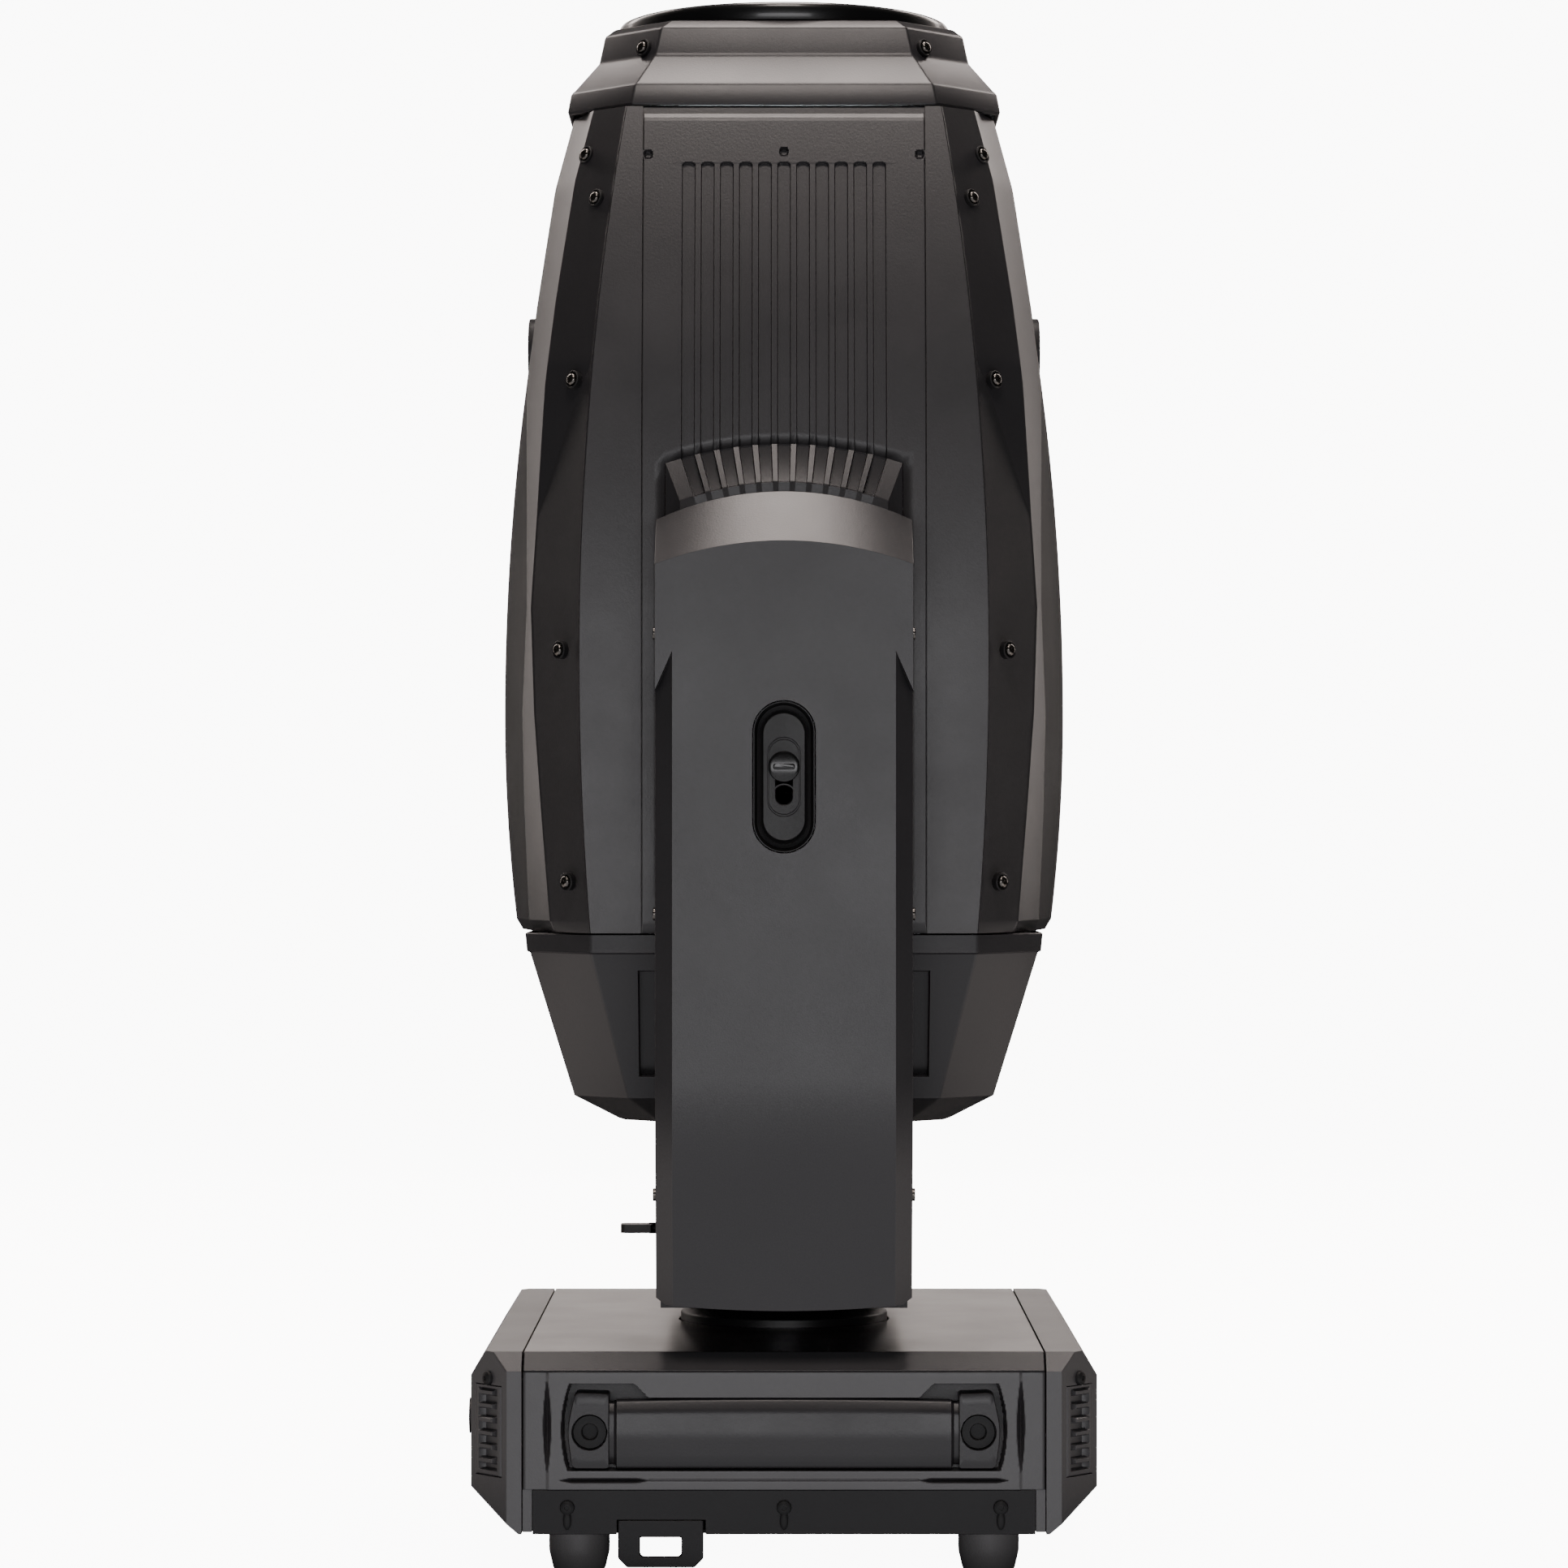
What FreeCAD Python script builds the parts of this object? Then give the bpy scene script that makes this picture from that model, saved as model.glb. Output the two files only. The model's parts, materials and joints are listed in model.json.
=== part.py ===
"""A moving head stage light: a base on four feet, a yoke that pans on it and a head that tilts in the yoke.

The frame: +Z up, the floor at z = 0, the pan axis is the Z axis and the tilt axis lies along Y.
The head stands upright, so its beam leaves along +Z. Lengths are in millimetres.
"""

import FreeCAD, Part
import math
import os

import Sketcher

# ---------------------------------------------------------------- driving dimensions

DIMENSIONS = {
    # base
    "base_length": 314.0,
    "base_width": 370.0,
    "base_top": 112.0,
    "base_floor": 22.0,
    "base_skin": 2.5,
    "base_seam": 130.0,
    "tray_half": 125.0,
    "tray_height": 22.0,
    "foot_radius": 15.3,
    "foot_across": 103.0,
    "foot_along": 150.0,
    "bracket_across": 106.0,
    "bracket_along": 240.0,
    "bracket_hole": 6.5,
    "handle_half": 98.0,
    # pan drive
    "pan_shaft": 26.0,
    "pan_wheel": 44.0,
    "pan_belt_low": 148.0,
    "pan_motor_along": 182.0,
    # yoke
    "arm_inner": 157.0,
    "arm_outer": 215.0,
    "arm_half": 63.5,
    "arm_low": 136.0,
    "arm_bend": 224.0,
    "arm_top": 540.0,
    "arm_round": 145.0,
    "arm_skin": 3.0,
    "bridge_low": 132.0,
    "bridge_top": 180.0,
    # head
    "tilt_height": 400.0,
    "hub_radius": 25.0,
    "tilt_wheel": 44.0,
    "head_foot": 320.0,
    "head_neck": 743.0,
    "head_depth": 147.7,
    "head_neck_depth": 112.0,
    "head_depth_at": 432.0,
    "head_width": 151.0,
    "head_neck_width": 113.0,
    "head_width_at": 470.0,
    "plate_half": 103.0,
    "plate_neck_half": 80.0,
    "plate_half_at": 460.0,
    "head_skin": 3.0,
    "panel_half": 72.0,
    "slot_width": 7.0,
    "slot_pitch": 9.7,
    "bezel_radius": 88.0,
    "head_tip": 800.0,
    "lens_radius": 78.0,
    "tail_foot": 221.0,
}


class Size:
    """A length worked out from the sheet: its number now, and the expression that binds a feature to it."""

    def __init__(self, number, text):
        self.number = float(number)
        self.text = text

    def _join(self, sign, other, number, swap=False):
        left, right = (str_of(other), self.text) if swap else (self.text, str_of(other))
        return Size(number, f"({left} {sign} {right})")

    def __add__(self, other):
        return self._join("+", other, self.number + value(other))

    def __radd__(self, other):
        return self._join("+", other, value(other) + self.number, swap=True)

    def __sub__(self, other):
        return self._join("-", other, self.number - value(other))

    def __rsub__(self, other):
        return self._join("-", other, value(other) - self.number, swap=True)

    def __mul__(self, other):
        return self._join("*", other, self.number * value(other))

    def __rmul__(self, other):
        return self._join("*", other, value(other) * self.number, swap=True)

    def __truediv__(self, other):
        return self._join("/", other, self.number / value(other))

    def __neg__(self):
        return Size(-self.number, f"(-1 * {self.text})")


def value(length):
    """The number of a Size or of a plain number."""
    return length.number if isinstance(length, Size) else float(length)


def str_of(length):
    """The expression text of a Size or of a plain number."""
    return length.text if isinstance(length, Size) else repr(float(length))


doc = FreeCAD.newDocument("MovingHeadLight")


def make_sheet():
    """The spreadsheet of driving dimensions, and the same dimensions as Size objects by alias."""
    sheet = doc.addObject("Spreadsheet::Sheet", "Sizes")
    for row, (alias, number) in enumerate(DIMENSIONS.items(), start=1):
        sheet.set(f"A{row}", alias)
        sheet.set(f"B{row}", str(number))
        sheet.setAlias(f"B{row}", alias)
    doc.recompute()
    return {alias: Size(sheet.get(alias), f"Sizes.{alias}") for alias in DIMENSIONS}


D = make_sheet()
NODES = {}
COUNTS = {}


def unique(word):
    """A document name for a helper object that has no label of its own."""
    COUNTS[word] = COUNTS.get(word, 0) + 1
    return f"{word}_{COUNTS[word]:03d}"


def node(label, piece):
    """Registers piece as a finished sub-part: its Label names its STEP file."""
    piece.Label = label
    NODES[label] = piece
    return piece


def bind(piece, name, length):
    """Binds one property of piece to the sheet, or sets it where the length is a plain number."""
    if isinstance(length, Size):
        piece.setExpression(name, length.text)
    elif not name.startswith("Placement"):
        setattr(piece, name, float(length))
    else:
        axis = name[-1]
        setattr(piece.Placement.Base, axis, float(length))


def place(piece, x=0.0, y=0.0, z=0.0, axis=(0, 0, 1), angle=0.0):
    """Puts piece at a point, turned by angle degrees about axis, bound to the sheet where the point is."""
    numbers = [value(x), value(y), value(z)]
    turn = FreeCAD.Rotation(FreeCAD.Vector(*axis), angle)
    piece.Placement = FreeCAD.Placement(FreeCAD.Vector(*numbers), turn)
    for letter, length in (("x", x), ("y", y), ("z", z)):
        if isinstance(length, Size):
            piece.setExpression(f"Placement.Base.{letter}", length.text)
    return piece


# ---------------------------------------------------------------- primitives and booleans


def block(x, y, z):
    """A Part box between two values along each axis."""
    box = doc.addObject("Part::Box", unique("Block"))
    for name, span in (("Length", x), ("Width", y), ("Height", z)):
        bind(box, name, span[1] - span[0])
    return place(box, x[0], y[0], z[0])


# The turn that lays a shape's own Z axis along a row axis.
LAY = {"z": ((0, 0, 1), 0.0), "x": ((0, 1, 0), 90.0), "y": ((1, 0, 0), -90.0)}


def rod(radius, length, x=0.0, y=0.0, z=0.0, along="z"):
    """A Part cylinder that starts at a point and runs along a row axis."""
    cylinder = doc.addObject("Part::Cylinder", unique("Rod"))
    bind(cylinder, "Radius", radius)
    bind(cylinder, "Height", length)
    axis, angle = LAY[along]
    return place(cylinder, x, y, z, axis, angle)


def fuse(*pieces):
    """Several solids joined into one."""
    joined = doc.addObject("Part::MultiFuse", unique("Fused"))
    joined.Shapes = list(pieces)
    joined.Refine = True
    return joined


def common(*pieces):
    """What several solids share."""
    shared = doc.addObject("Part::MultiCommon", unique("Shared"))
    shared.Shapes = list(pieces)
    return shared


def cut(base, *tools):
    """base with the tools taken away."""
    result = doc.addObject("Part::Cut", unique("Cut"))
    result.Base = base
    result.Tool = tools[0] if len(tools) == 1 else group(*tools)
    return result


def group(*pieces):
    """Separate solids kept together as one object."""
    compound = doc.addObject("Part::Compound", unique("Group"))
    compound.Links = list(pieces)
    return compound


def tube(radius, bore, length, x=0.0, y=0.0, z=0.0, along="z"):
    """A round tube."""
    return cut(rod(radius, length, x, y, z, along), rod(bore, length, x, y, z, along))


# ---------------------------------------------------------------- sketched bodies


def origin_plane(body, role):
    """A body's own origin plane, by its role."""
    return next(f for f in body.Origin.OriginFeatures if f.Role == role)


def draw_polygon(sketch, points):
    """A closed outline whose corners are tied to the sheet, two distances each."""
    first = sketch.GeometryCount
    count = len(points)
    flat = [FreeCAD.Vector(value(u), value(v), 0) for u, v in points]
    for i in range(count):
        sketch.addGeometry(Part.LineSegment(flat[i], flat[(i + 1) % count]))
    for i in range(count):
        sketch.addConstraint(
            Sketcher.Constraint("Coincident", first + i, 2, first + (i + 1) % count, 1)
        )
    for i, point in enumerate(points):
        for kind, length in zip(("DistanceX", "DistanceY"), point):
            tie = Sketcher.Constraint(kind, -1, 1, first + i, 1, value(length))
            number = sketch.addConstraint(tie)
            if isinstance(length, Size):
                sketch.setExpression(f"Constraints[{number}]", length.text)


def draw_circle(sketch, u, v, radius):
    """A circle whose centre and radius are tied to the sheet."""
    index = sketch.GeometryCount
    centre = FreeCAD.Vector(value(u), value(v), 0)
    sketch.addGeometry(Part.Circle(centre, FreeCAD.Vector(0, 0, 1), value(radius)))
    ties = (
        (Sketcher.Constraint("Radius", index, value(radius)), radius),
        (Sketcher.Constraint("DistanceX", -1, 1, index, 3, value(u)), u),
        (Sketcher.Constraint("DistanceY", -1, 1, index, 3, value(v)), v),
    )
    for tie, length in ties:
        number = sketch.addConstraint(tie)
        if isinstance(length, Size):
            sketch.setExpression(f"Constraints[{number}]", length.text)


def sketch_on(body, role, offset, loops):
    """A sketch on a shifted origin plane of body. A loop is a list of corners or (u, v, radius)."""
    sketch = body.newObject("Sketcher::SketchObject", unique("Outline"))
    sketch.AttachmentSupport = (origin_plane(body, role), [""])
    sketch.MapMode = "FlatFace"
    sketch.AttachmentOffset.Base.z = value(offset)
    if isinstance(offset, Size):
        sketch.setExpression("AttachmentOffset.Base.z", offset.text)
    else:
        shift = FreeCAD.Vector(0, 0, float(offset))
        sketch.AttachmentOffset = FreeCAD.Placement(shift, FreeCAD.Rotation())
    for loop in loops:
        if isinstance(loop, tuple):
            draw_circle(sketch, *loop)
        else:
            draw_polygon(sketch, loop)
    return sketch


def pad(plane, loops, low, high):
    """A body padded from a sketch between two values along Z for XY, along Y for XZ or along X for YZ."""
    body = doc.addObject("PartDesign::Body", unique("Body"))
    offset = -high if plane == "XZ" else low
    sketch = sketch_on(body, f"{plane}_Plane", offset, loops)
    feature = body.newObject("PartDesign::Pad", unique("Pad"))
    feature.Profile = sketch
    bind(feature, "Length", high - low)
    sketch.Visibility = False
    return body


def turned(profile, x=0.0, y=0.0, z=0.0, along="z", flip=False):
    """A body revolved about its own Z axis from (radius, height) corners, then laid along a row axis."""
    body = doc.addObject("PartDesign::Body", unique("Body"))
    sketch = sketch_on(body, "XZ_Plane", 0.0, [profile])
    feature = body.newObject("PartDesign::Revolution", unique("Revolution"))
    feature.Profile = sketch
    feature.ReferenceAxis = (sketch, ["V_Axis"])
    feature.Angle = 360.0
    axis, angle = LAY[along]
    if flip:
        angle = angle + 180.0
        axis = axis if along != "z" else (1, 0, 0)
    return place(body, x, y, z, axis, angle)


def mirrored_outline(points):
    """The corners of a left half, from low to high, followed by their mirror images in the V axis."""
    return list(points) + [(-u, v) for u, v in reversed(points)]


def rectangle(u, v):
    """The four corners of a rectangle between two values along each sketch axis."""
    return [(u[0], v[0]), (u[1], v[0]), (u[1], v[1]), (u[0], v[1])]


def feature(shape):
    """A plain feature that holds a shape made with Part's own functions."""
    piece = doc.addObject("Part::Feature", unique("Surface"))
    piece.Shape = shape
    return piece


def turned_copy(piece, angle=180.0):
    """A copy of a Part::Feature's shape turned about the pan axis."""
    shape = piece.Shape.copy()
    shape.rotate(FreeCAD.Vector(0, 0, 0), FreeCAD.Vector(0, 0, 1), angle)
    return feature(shape)


BOTH = (-1, 1)


# ---------------------------------------------------------------- base: housing

CORNER_X = 19.0
CORNER_Y = 24.0
EDGE_HIGH = 9.0
END_SLOPE = 13.0
END_SLOPE_IN = 8.0
HEM_HIGH = 21.0
HEM_IN = 25.0


def base_envelope(inset):
    """The housing's outer form, shrunk by inset: cut corners, sloping ends and bevelled long edges."""
    length = D["base_length"] / 2 - inset
    width = D["base_width"] / 2 - inset
    low, top = D["base_floor"] + inset, D["base_top"] - inset
    plan = [
        (-length, -(width - CORNER_Y)),
        (-(length - CORNER_X), -width),
        (length - CORNER_X, -width),
        (length, -(width - CORNER_Y)),
        (length, width - CORNER_Y),
        (length - CORNER_X, width),
        (-(length - CORNER_X), width),
        (-length, width - CORNER_Y),
    ]
    front = mirrored_outline(
        [
            (-(length - HEM_IN), low),
            (-length, low + HEM_HIGH),
            (-length, top - END_SLOPE),
            (-(length - END_SLOPE_IN), top),
        ]
    )
    side = mirrored_outline([(-width, low), (-width, top - EDGE_HIGH), (-(width - EDGE_HIGH), top)])
    return common(
        pad("XY", [plan], low, top),
        pad("XZ", [front], -width, width),
        pad("YZ", [side], -length, length),
    )


def base_skin_between(x, y, z):
    """The part of the housing's thin skin that lies in a box."""
    skin = cut(base_envelope(0.0), base_envelope(D["base_skin"]))
    return common(skin, block(x, y, z))


def bracket_spots():
    """The centres of the four quarter-turn sockets, where a clamp bracket locks on."""
    return [(sx * D["bracket_across"] / 2, sy * D["bracket_along"] / 2) for sx in BOTH for sy in BOTH]


def make_tray():
    """A folded steel tray that carries everything, with bracket sockets and a notch for the safety eye."""
    half, width = D["tray_half"], D["base_width"] / 2 - 0.5
    low, high = D["base_floor"], D["base_floor"] + D["tray_height"]
    sheet = 2.0
    outer = block((-half, half), (-width, width), (low, high))
    inner = block(
        (-half + sheet, half - sheet), (-width + sheet, width - sheet), (low + sheet, high + 1)
    )
    tools = [inner, block((-83.0, -39.0), (-width - 1, -width + 4.2), (low - 1, 29.2))]
    tools += [rod(D["bracket_hole"], 4.0, x, y, low - 1) for x, y in bracket_spots()]
    rings = [tube(11.0, D["bracket_hole"], 6.0, x, y, low + sheet) for x, y in bracket_spots()]
    node("base_tray", fuse(cut(outer, *tools), *rings))


def make_top_cover():
    """The lid, with the opening that the pan shaft's collar stands in."""
    seam = D["base_seam"] - 0.3
    width = D["base_width"] / 2
    lid = base_skin_between((-seam, seam), (-width - 1, width + 1), (103.1, D["base_top"] + 1))
    node("base_top_cover", cut(lid, rod(56.0, 20.0, 0.0, 0.0, 100.0)))


TUB_HALF = 110.0
TUB_LOW, TUB_HIGH = 50.0, 100.0
TUB_DEEP = 25.0


def side_cover(side):
    """A long side of the housing, with the hollow behind the carrying handle."""
    seam = D["base_seam"] - 0.3
    face = side * D["base_width"] / 2
    back = side * (D["base_width"] / 2 - TUB_DEEP)
    skin = 2.5
    near, far = (face, back) if side < 0 else (back, face)
    wall = (near, near + 3.0) if side < 0 else (far - 3.0, far)
    plate = block((-seam, seam), wall, (D["base_floor"] + D["tray_height"], 102.9))
    outer = block((-TUB_HALF, TUB_HALF), (near, far), (TUB_LOW, TUB_HIGH))
    if side < 0:
        hollow = (near - 1, far - skin)
    else:
        hollow = (near + skin, far + 1)
    inner = block(
        (-TUB_HALF + skin, TUB_HALF - skin), hollow, (TUB_LOW + skin, TUB_HIGH - skin)
    )
    holes = [
        rod(4.1, 40.0, sx * D["handle_half"], min(value(near), value(far)) - 5, 73.5, along="y")
        for sx in BOTH
    ]
    return cut(fuse(plate, outer), inner, *holes)


def make_handle(label, side):
    """A cast carrying handle: two feet that bolt into the hollow and a broad, bowed grip."""
    width = D["base_width"] / 2
    foot_back = width - TUB_DEEP + 2.5
    half = D["handle_half"]

    def across(low, high):
        """A span along Y, measured outwards from the middle, on this side."""
        return (-high, -low) if side < 0 else (low, high)

    feet = [
        block(
            (sx * half - 13.0, sx * half + 9.5) if sx > 0 else (sx * half - 9.5, sx * half + 13.0),
            across(foot_back, width),
            (54.0, 96.5),
        )
        for sx in BOTH
    ]
    bar = [
        (side * (width - 9.0), 55.5),
        (side * (width - 1.0), 54.0),
        (side * (width + 2.0), 60.0),
        (side * (width + 3.0), 71.5),
        (side * (width + 2.0), 83.0),
        (side * (width - 1.0), 89.0),
        (side * (width - 9.0), 87.5),
        (side * (width - 6.0), 71.5),
    ]
    grip = pad("YZ", [bar], -half + 10.0, half - 10.0)
    inside, outside = across(foot_back - 1, width + 1), across(width - 6.0, width + 1)
    holes = []
    for sx in BOTH:
        x = sx * half
        holes.append(rod(4.1, inside[1] - inside[0], x, inside[0], 73.5, along="y"))
        holes.append(rod(9.2, outside[1] - outside[0], x, outside[0], 73.5, along="y"))
    node(label, cut(fuse(*feet, grip), *holes))


def handle_bolts():
    """Socket head bolts through both handles' feet."""
    width = D["base_width"] / 2
    bolts = []
    for side in BOTH:
        for sx in BOTH:
            x, z = sx * D["handle_half"], 73.5
            if side < 0:
                head = rod(6.5, 5.5, x, -(width - 0.5), z, along="y")
                shank = rod(4.0, 24.0, x, -(width - 6.0), z, along="y")
                key = rod(3.0, 3.0, x, -(width + 0.5), z, along="y")
            else:
                head = rod(6.5, 5.5, x, width - 6.0, z, along="y")
                shank = rod(4.0, 24.0, x, width - 30.0, z, along="y")
                key = rod(3.0, 3.0, x, width - 2.5, z, along="y")
            bolts.append(cut(fuse(head, shank), key))
    return bolts


LOUVRE_WIDE = 22.0
LOUVRE_LOW, LOUVRE_HIGH = 50.0, 95.0


def corner_turns():
    """The angle that faces each cut corner outwards, with the corner's middle."""
    for sx in BOTH:
        for sy in BOTH:
            angle = math.degrees(math.atan2(sy * CORNER_X, sx * CORNER_Y))
            x = sx * (D["base_length"] / 2 - CORNER_X / 2)
            y = sy * (D["base_width"] / 2 - CORNER_Y / 2)
            yield angle, x, y


def make_corner_louvres():
    """Moulded louvre inserts in the four cut corners, six slots each."""
    inserts = []
    for angle, x, y in corner_turns():
        plate = block((-2.5, 0.0), (-LOUVRE_WIDE / 2, LOUVRE_WIDE / 2), (LOUVRE_LOW, LOUVRE_HIGH))
        slots = [
            block((-5.0, 1.0), (-7.0, 7.0), (LOUVRE_LOW + 3.0 + 6.8 * i, LOUVRE_LOW + 7.0 + 6.8 * i))
            for i in range(6)
        ]
        insert = cut(plate, *slots)
        inserts.append(place(insert, x, y, 0.0, angle=angle))
    node("corner_louvres", group(*inserts))


def louvre_openings(side):
    """The openings that the louvre inserts fill in one end cover."""
    tools = []
    for angle, x, y in corner_turns():
        if value(x) * side < 0:
            continue
        gap = LOUVRE_WIDE / 2 + 0.2
        tool = block((-8.0, 4.0), (-gap, gap), (LOUVRE_LOW - 0.2, LOUVRE_HIGH + 0.2))
        tools.append(place(group(tool), x, y, 0.0, angle=angle))
    return tools


# Each socket's place along Y and its radius.
CONNECTORS = {
    "power": ((-62.0, 12.0), (-24.0, 12.0)),
    "data": ((14.0, 11.0), (46.0, 11.0), (78.0, 11.0), (110.0, 11.0)),
}
KEYS = {"menu_key": 76.0, "back_key": 94.0}
DIAL_Y = 42.0
SOCKET_Z = 73.0


def make_end_cover(label, side):
    """One end of the housing: it wraps the cut corners and carries the sockets or the display."""
    seam, end = D["base_seam"] + 0.3, D["base_length"] / 2 + 1
    span = (seam, end) if side > 0 else (-end, -seam)
    width = D["base_width"] / 2 + 1
    skin = base_skin_between(span, (-width, width), (D["base_floor"] - 1, D["base_top"] + 1))
    foot = (D["tray_half"], 141.0) if side > 0 else (-141.0, -D["tray_half"])
    ribs = [block(foot, (y - 12.0, y + 12.0), (28.0, 33.0)) for y in (-110.0, 0.0, 110.0)]
    skin = fuse(skin, *ribs)
    tools = louvre_openings(side)
    if side < 0:
        for spots in CONNECTORS.values():
            for y, radius in spots:
                tools.append(rod(radius + 1.5, 12.0, -160.0, y, SOCKET_Z, along="x"))
        tools.append(rod(7.2, 12.0, -160.0, -112.0, SOCKET_Z, along="x"))
    else:
        tools.append(block((150.0, 160.0), (-90.0, -4.0), (49.0, 93.0)))
        tools.append(rod(19.3, 12.0, 150.0, DIAL_Y, 71.0, along="x"))
        for y in KEYS.values():
            tools.append(block((150.0, 160.0), (y - 6.2, y + 6.2), (64.8, 77.2)))
    node(label, cut(skin, *tools))


def socket(y, radius, pins, pin_ring):
    """A chassis socket seen from outside: a flanged cup with contacts at its bottom."""
    cup = fuse(
        rod(radius + 1.2, 24.0, -157.0, y, SOCKET_Z, along="x"),
        block((-160.6, -157.0), (y - 13.0, y + 13.0), (SOCKET_Z - 15.5, SOCKET_Z + 15.5)),
    )
    hollow = rod(radius - 1.5, 20.0, -161.0, y, SOCKET_Z, along="x")
    parts = [cut(cup, hollow)]
    for i in range(pins):
        turn = 2 * math.pi * i / pins + math.pi / 2
        py, pz = y + pin_ring * math.cos(turn), SOCKET_Z + pin_ring * math.sin(turn)
        parts.append(rod(1.2, 8.0, -143.0, py, pz, along="x"))
    return fuse(*parts)


def make_sockets():
    """Mains in and out with their fuse, then control data in and out, on the socket end."""
    node("data_sockets", group(*[socket(y, r, 5, 5.0) for y, r in CONNECTORS["data"]]))
    body = rod(7.0, 22.0, -157.0, -112.0, SOCKET_Z, along="x")
    cap = rod(9.0, 3.6, -160.6, -112.0, SOCKET_Z, along="x")
    slot = block((-161.0, -159.4), (-118.0, -106.0), (SOCKET_Z - 0.8, SOCKET_Z + 0.8))
    holder = cut(fuse(body, cap), slot)
    node("power_sockets", group(holder, *[socket(y, r, 3, 5.0) for y, r in CONNECTORS["power"]]))


def make_control_panel():
    """The display, its dial and three keys, each a piece that moves on its own."""
    glass = block((153.0, 156.6), (-89.7, -4.3), (49.3, 92.7))
    node("display_window", glass)
    dial = turned(
        [(0.0, 0.0), (17.0, 0.0), (17.0, 9.5), (15.5, 11.5), (6.0, 11.5), (4.0, 10.3), (0.0, 10.3)],
        145.0,
        DIAL_Y,
        71.0,
        along="x",
    )
    node("menu_dial", dial)
    for name, y in KEYS.items():
        node(name, block((151.0, 158.0), (y - 5.9, y + 5.9), (65.1, 76.9)))
    board = block((140.0, 142.5), (22.0, 104.0), (50.0, 90.0))
    cup = tube(19.0, 17.4, 12.0, 142.5, DIAL_Y, 71.0, along="x")
    switches = [block((142.5, 149.4), (y - 3.0, y + 3.0), (68.0, 74.0)) for y in KEYS.values()]
    node("key_board", fuse(board, cup, *switches))


def make_feet():
    """Four moulded rubber feet with a bevelled tread."""
    radius = D["foot_radius"]
    profile = [
        (0.0, 0.0),
        (radius - 3.5, 0.0),
        (radius - 1.0, 2.5),
        (radius, 20.0),
        (radius - 0.5, D["base_floor"]),
        (0.0, D["base_floor"]),
    ]
    feet = [
        turned(profile, sx * D["foot_across"], sy * D["foot_along"], 0.0)
        for sx in BOTH
        for sy in BOTH
    ]
    node("rubber_feet", group(*feet))


def make_safety_eye():
    """A bent steel eye for the safety cable, hung from the tray's edge."""
    width = D["base_width"] / 2 - 0.5
    outline = [
        (-82.5, 29.0),
        (-82.5, 10.0),
        (-78.0, 5.5),
        (-44.5, 5.5),
        (-40.0, 10.0),
        (-40.0, 29.0),
    ]
    hole = [(-71.5, 12.0), (-70.0, 10.8), (-52.5, 10.8), (-51.0, 12.0), (-51.0, 20.5), (-71.5, 20.5)]
    plate = pad("XZ", [outline, hole], -width, -width + 4.0)
    tongue = block((-78.0, -44.5), (-width + 4.0, -width + 24.0), (24.0, 28.0))
    node("safety_eye", fuse(plate, tongue))


def tray_screws():
    """Three pan head screws along each long side of the tray."""
    width = D["base_width"] / 2 - 0.5
    screws = []
    for sx in (-1, 0, 1):
        x = sx * 107.7
        screws.append(rod(3.6, 2.4, x, -width - 2.4, 33.0, along="y"))
        screws.append(rod(3.6, 2.4, x, width, 33.0, along="y"))
    return screws


def corner_screws():
    """One screw above each louvre insert, holding the end covers."""
    screws = []
    for angle, x, y in corner_turns():
        screw = group(rod(3.4, 2.0, 0.0, 0.0, 98.5, along="x"))
        screws.append(place(screw, x, y, 0.0, angle=angle))
    return screws


# ---------------------------------------------------------------- base: what it holds


def make_base_contents():
    """The power supply and the control board on the tray."""
    supply = block((-60.0, 60.0), (62.0, 156.0), (31.0, 86.0))
    standoffs = [rod(4.0, 7.0, sx * 30.0, y, 24.0) for sx in BOTH for y in (70.0, 148.0)]
    node("power_supply", fuse(supply, *standoffs))
    board = block((-60.0, 60.0), (-156.0, -62.0), (34.0, 36.0))
    chips = [
        block((-50.0, -22.0), (-140.0, -112.0), (36.0, 39.0)),
        block((-8.0, 12.0), (-136.0, -108.0), (36.0, 44.0)),
        block((24.0, 52.0), (-150.0, -130.0), (36.0, 50.0)),
        block((-50.0, -10.0), (-92.0, -72.0), (36.0, 46.0)),
    ]
    posts = [rod(3.0, 10.0, sx * 54.0, y, 24.0) for sx in BOTH for y in (-150.0, -68.0)]
    node("control_board", fuse(board, *chips, *posts))


def fan_rotor(radius, depth, x, y, z, along):
    """A fan's hub and seven swept blades, laid along a row axis."""
    hub = rod(radius * 0.42, depth)
    blades = []
    for i in range(7):
        blade = block((radius * 0.4, radius), (-1.0, 1.0), (1.0, depth - 1.0))
        blades.append(place(group(blade), angle=360.0 * i / 7))
    rotor = fuse(hub, *blades)
    axis, angle = LAY[along]
    return place(rotor, x, y, z, axis, angle)


# ---------------------------------------------------------------- pan drive


def make_pan_drive():
    """The hollow shaft that stands still in the base, its wheel and the pan motor's pulley."""
    shaft_radius = D["pan_shaft"]
    shaft = tube(shaft_radius, shaft_radius - 4, 106.0, 0.0, 0.0, 60.0)
    flange = tube(50.0, shaft_radius - 4, 5.0, 0.0, 0.0, 60.0)
    legs = [
        rod(5.0, 36.0, sx * 38.0, sy * 24.0, 24.0)
        for sx in BOTH
        for sy in BOTH
    ]
    low = D["pan_belt_low"]
    wheel = tube(D["pan_wheel"], shaft_radius - 4, 12.0, 0.0, 0.0, low)
    node("pan_shaft", fuse(shaft, flange, wheel, *legs))
    collar = turned(
        [
            (shaft_radius, 106.0),
            (55.0, 106.0),
            (55.0, 116.0),
            (48.0, 121.0),
            (shaft_radius, 121.0),
        ]
    )
    node("pan_collar", collar)
    node("pan_motor_pulley", tube(8.0, 2.55, 12.0, 0.0, D["pan_motor_along"], low))


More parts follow.
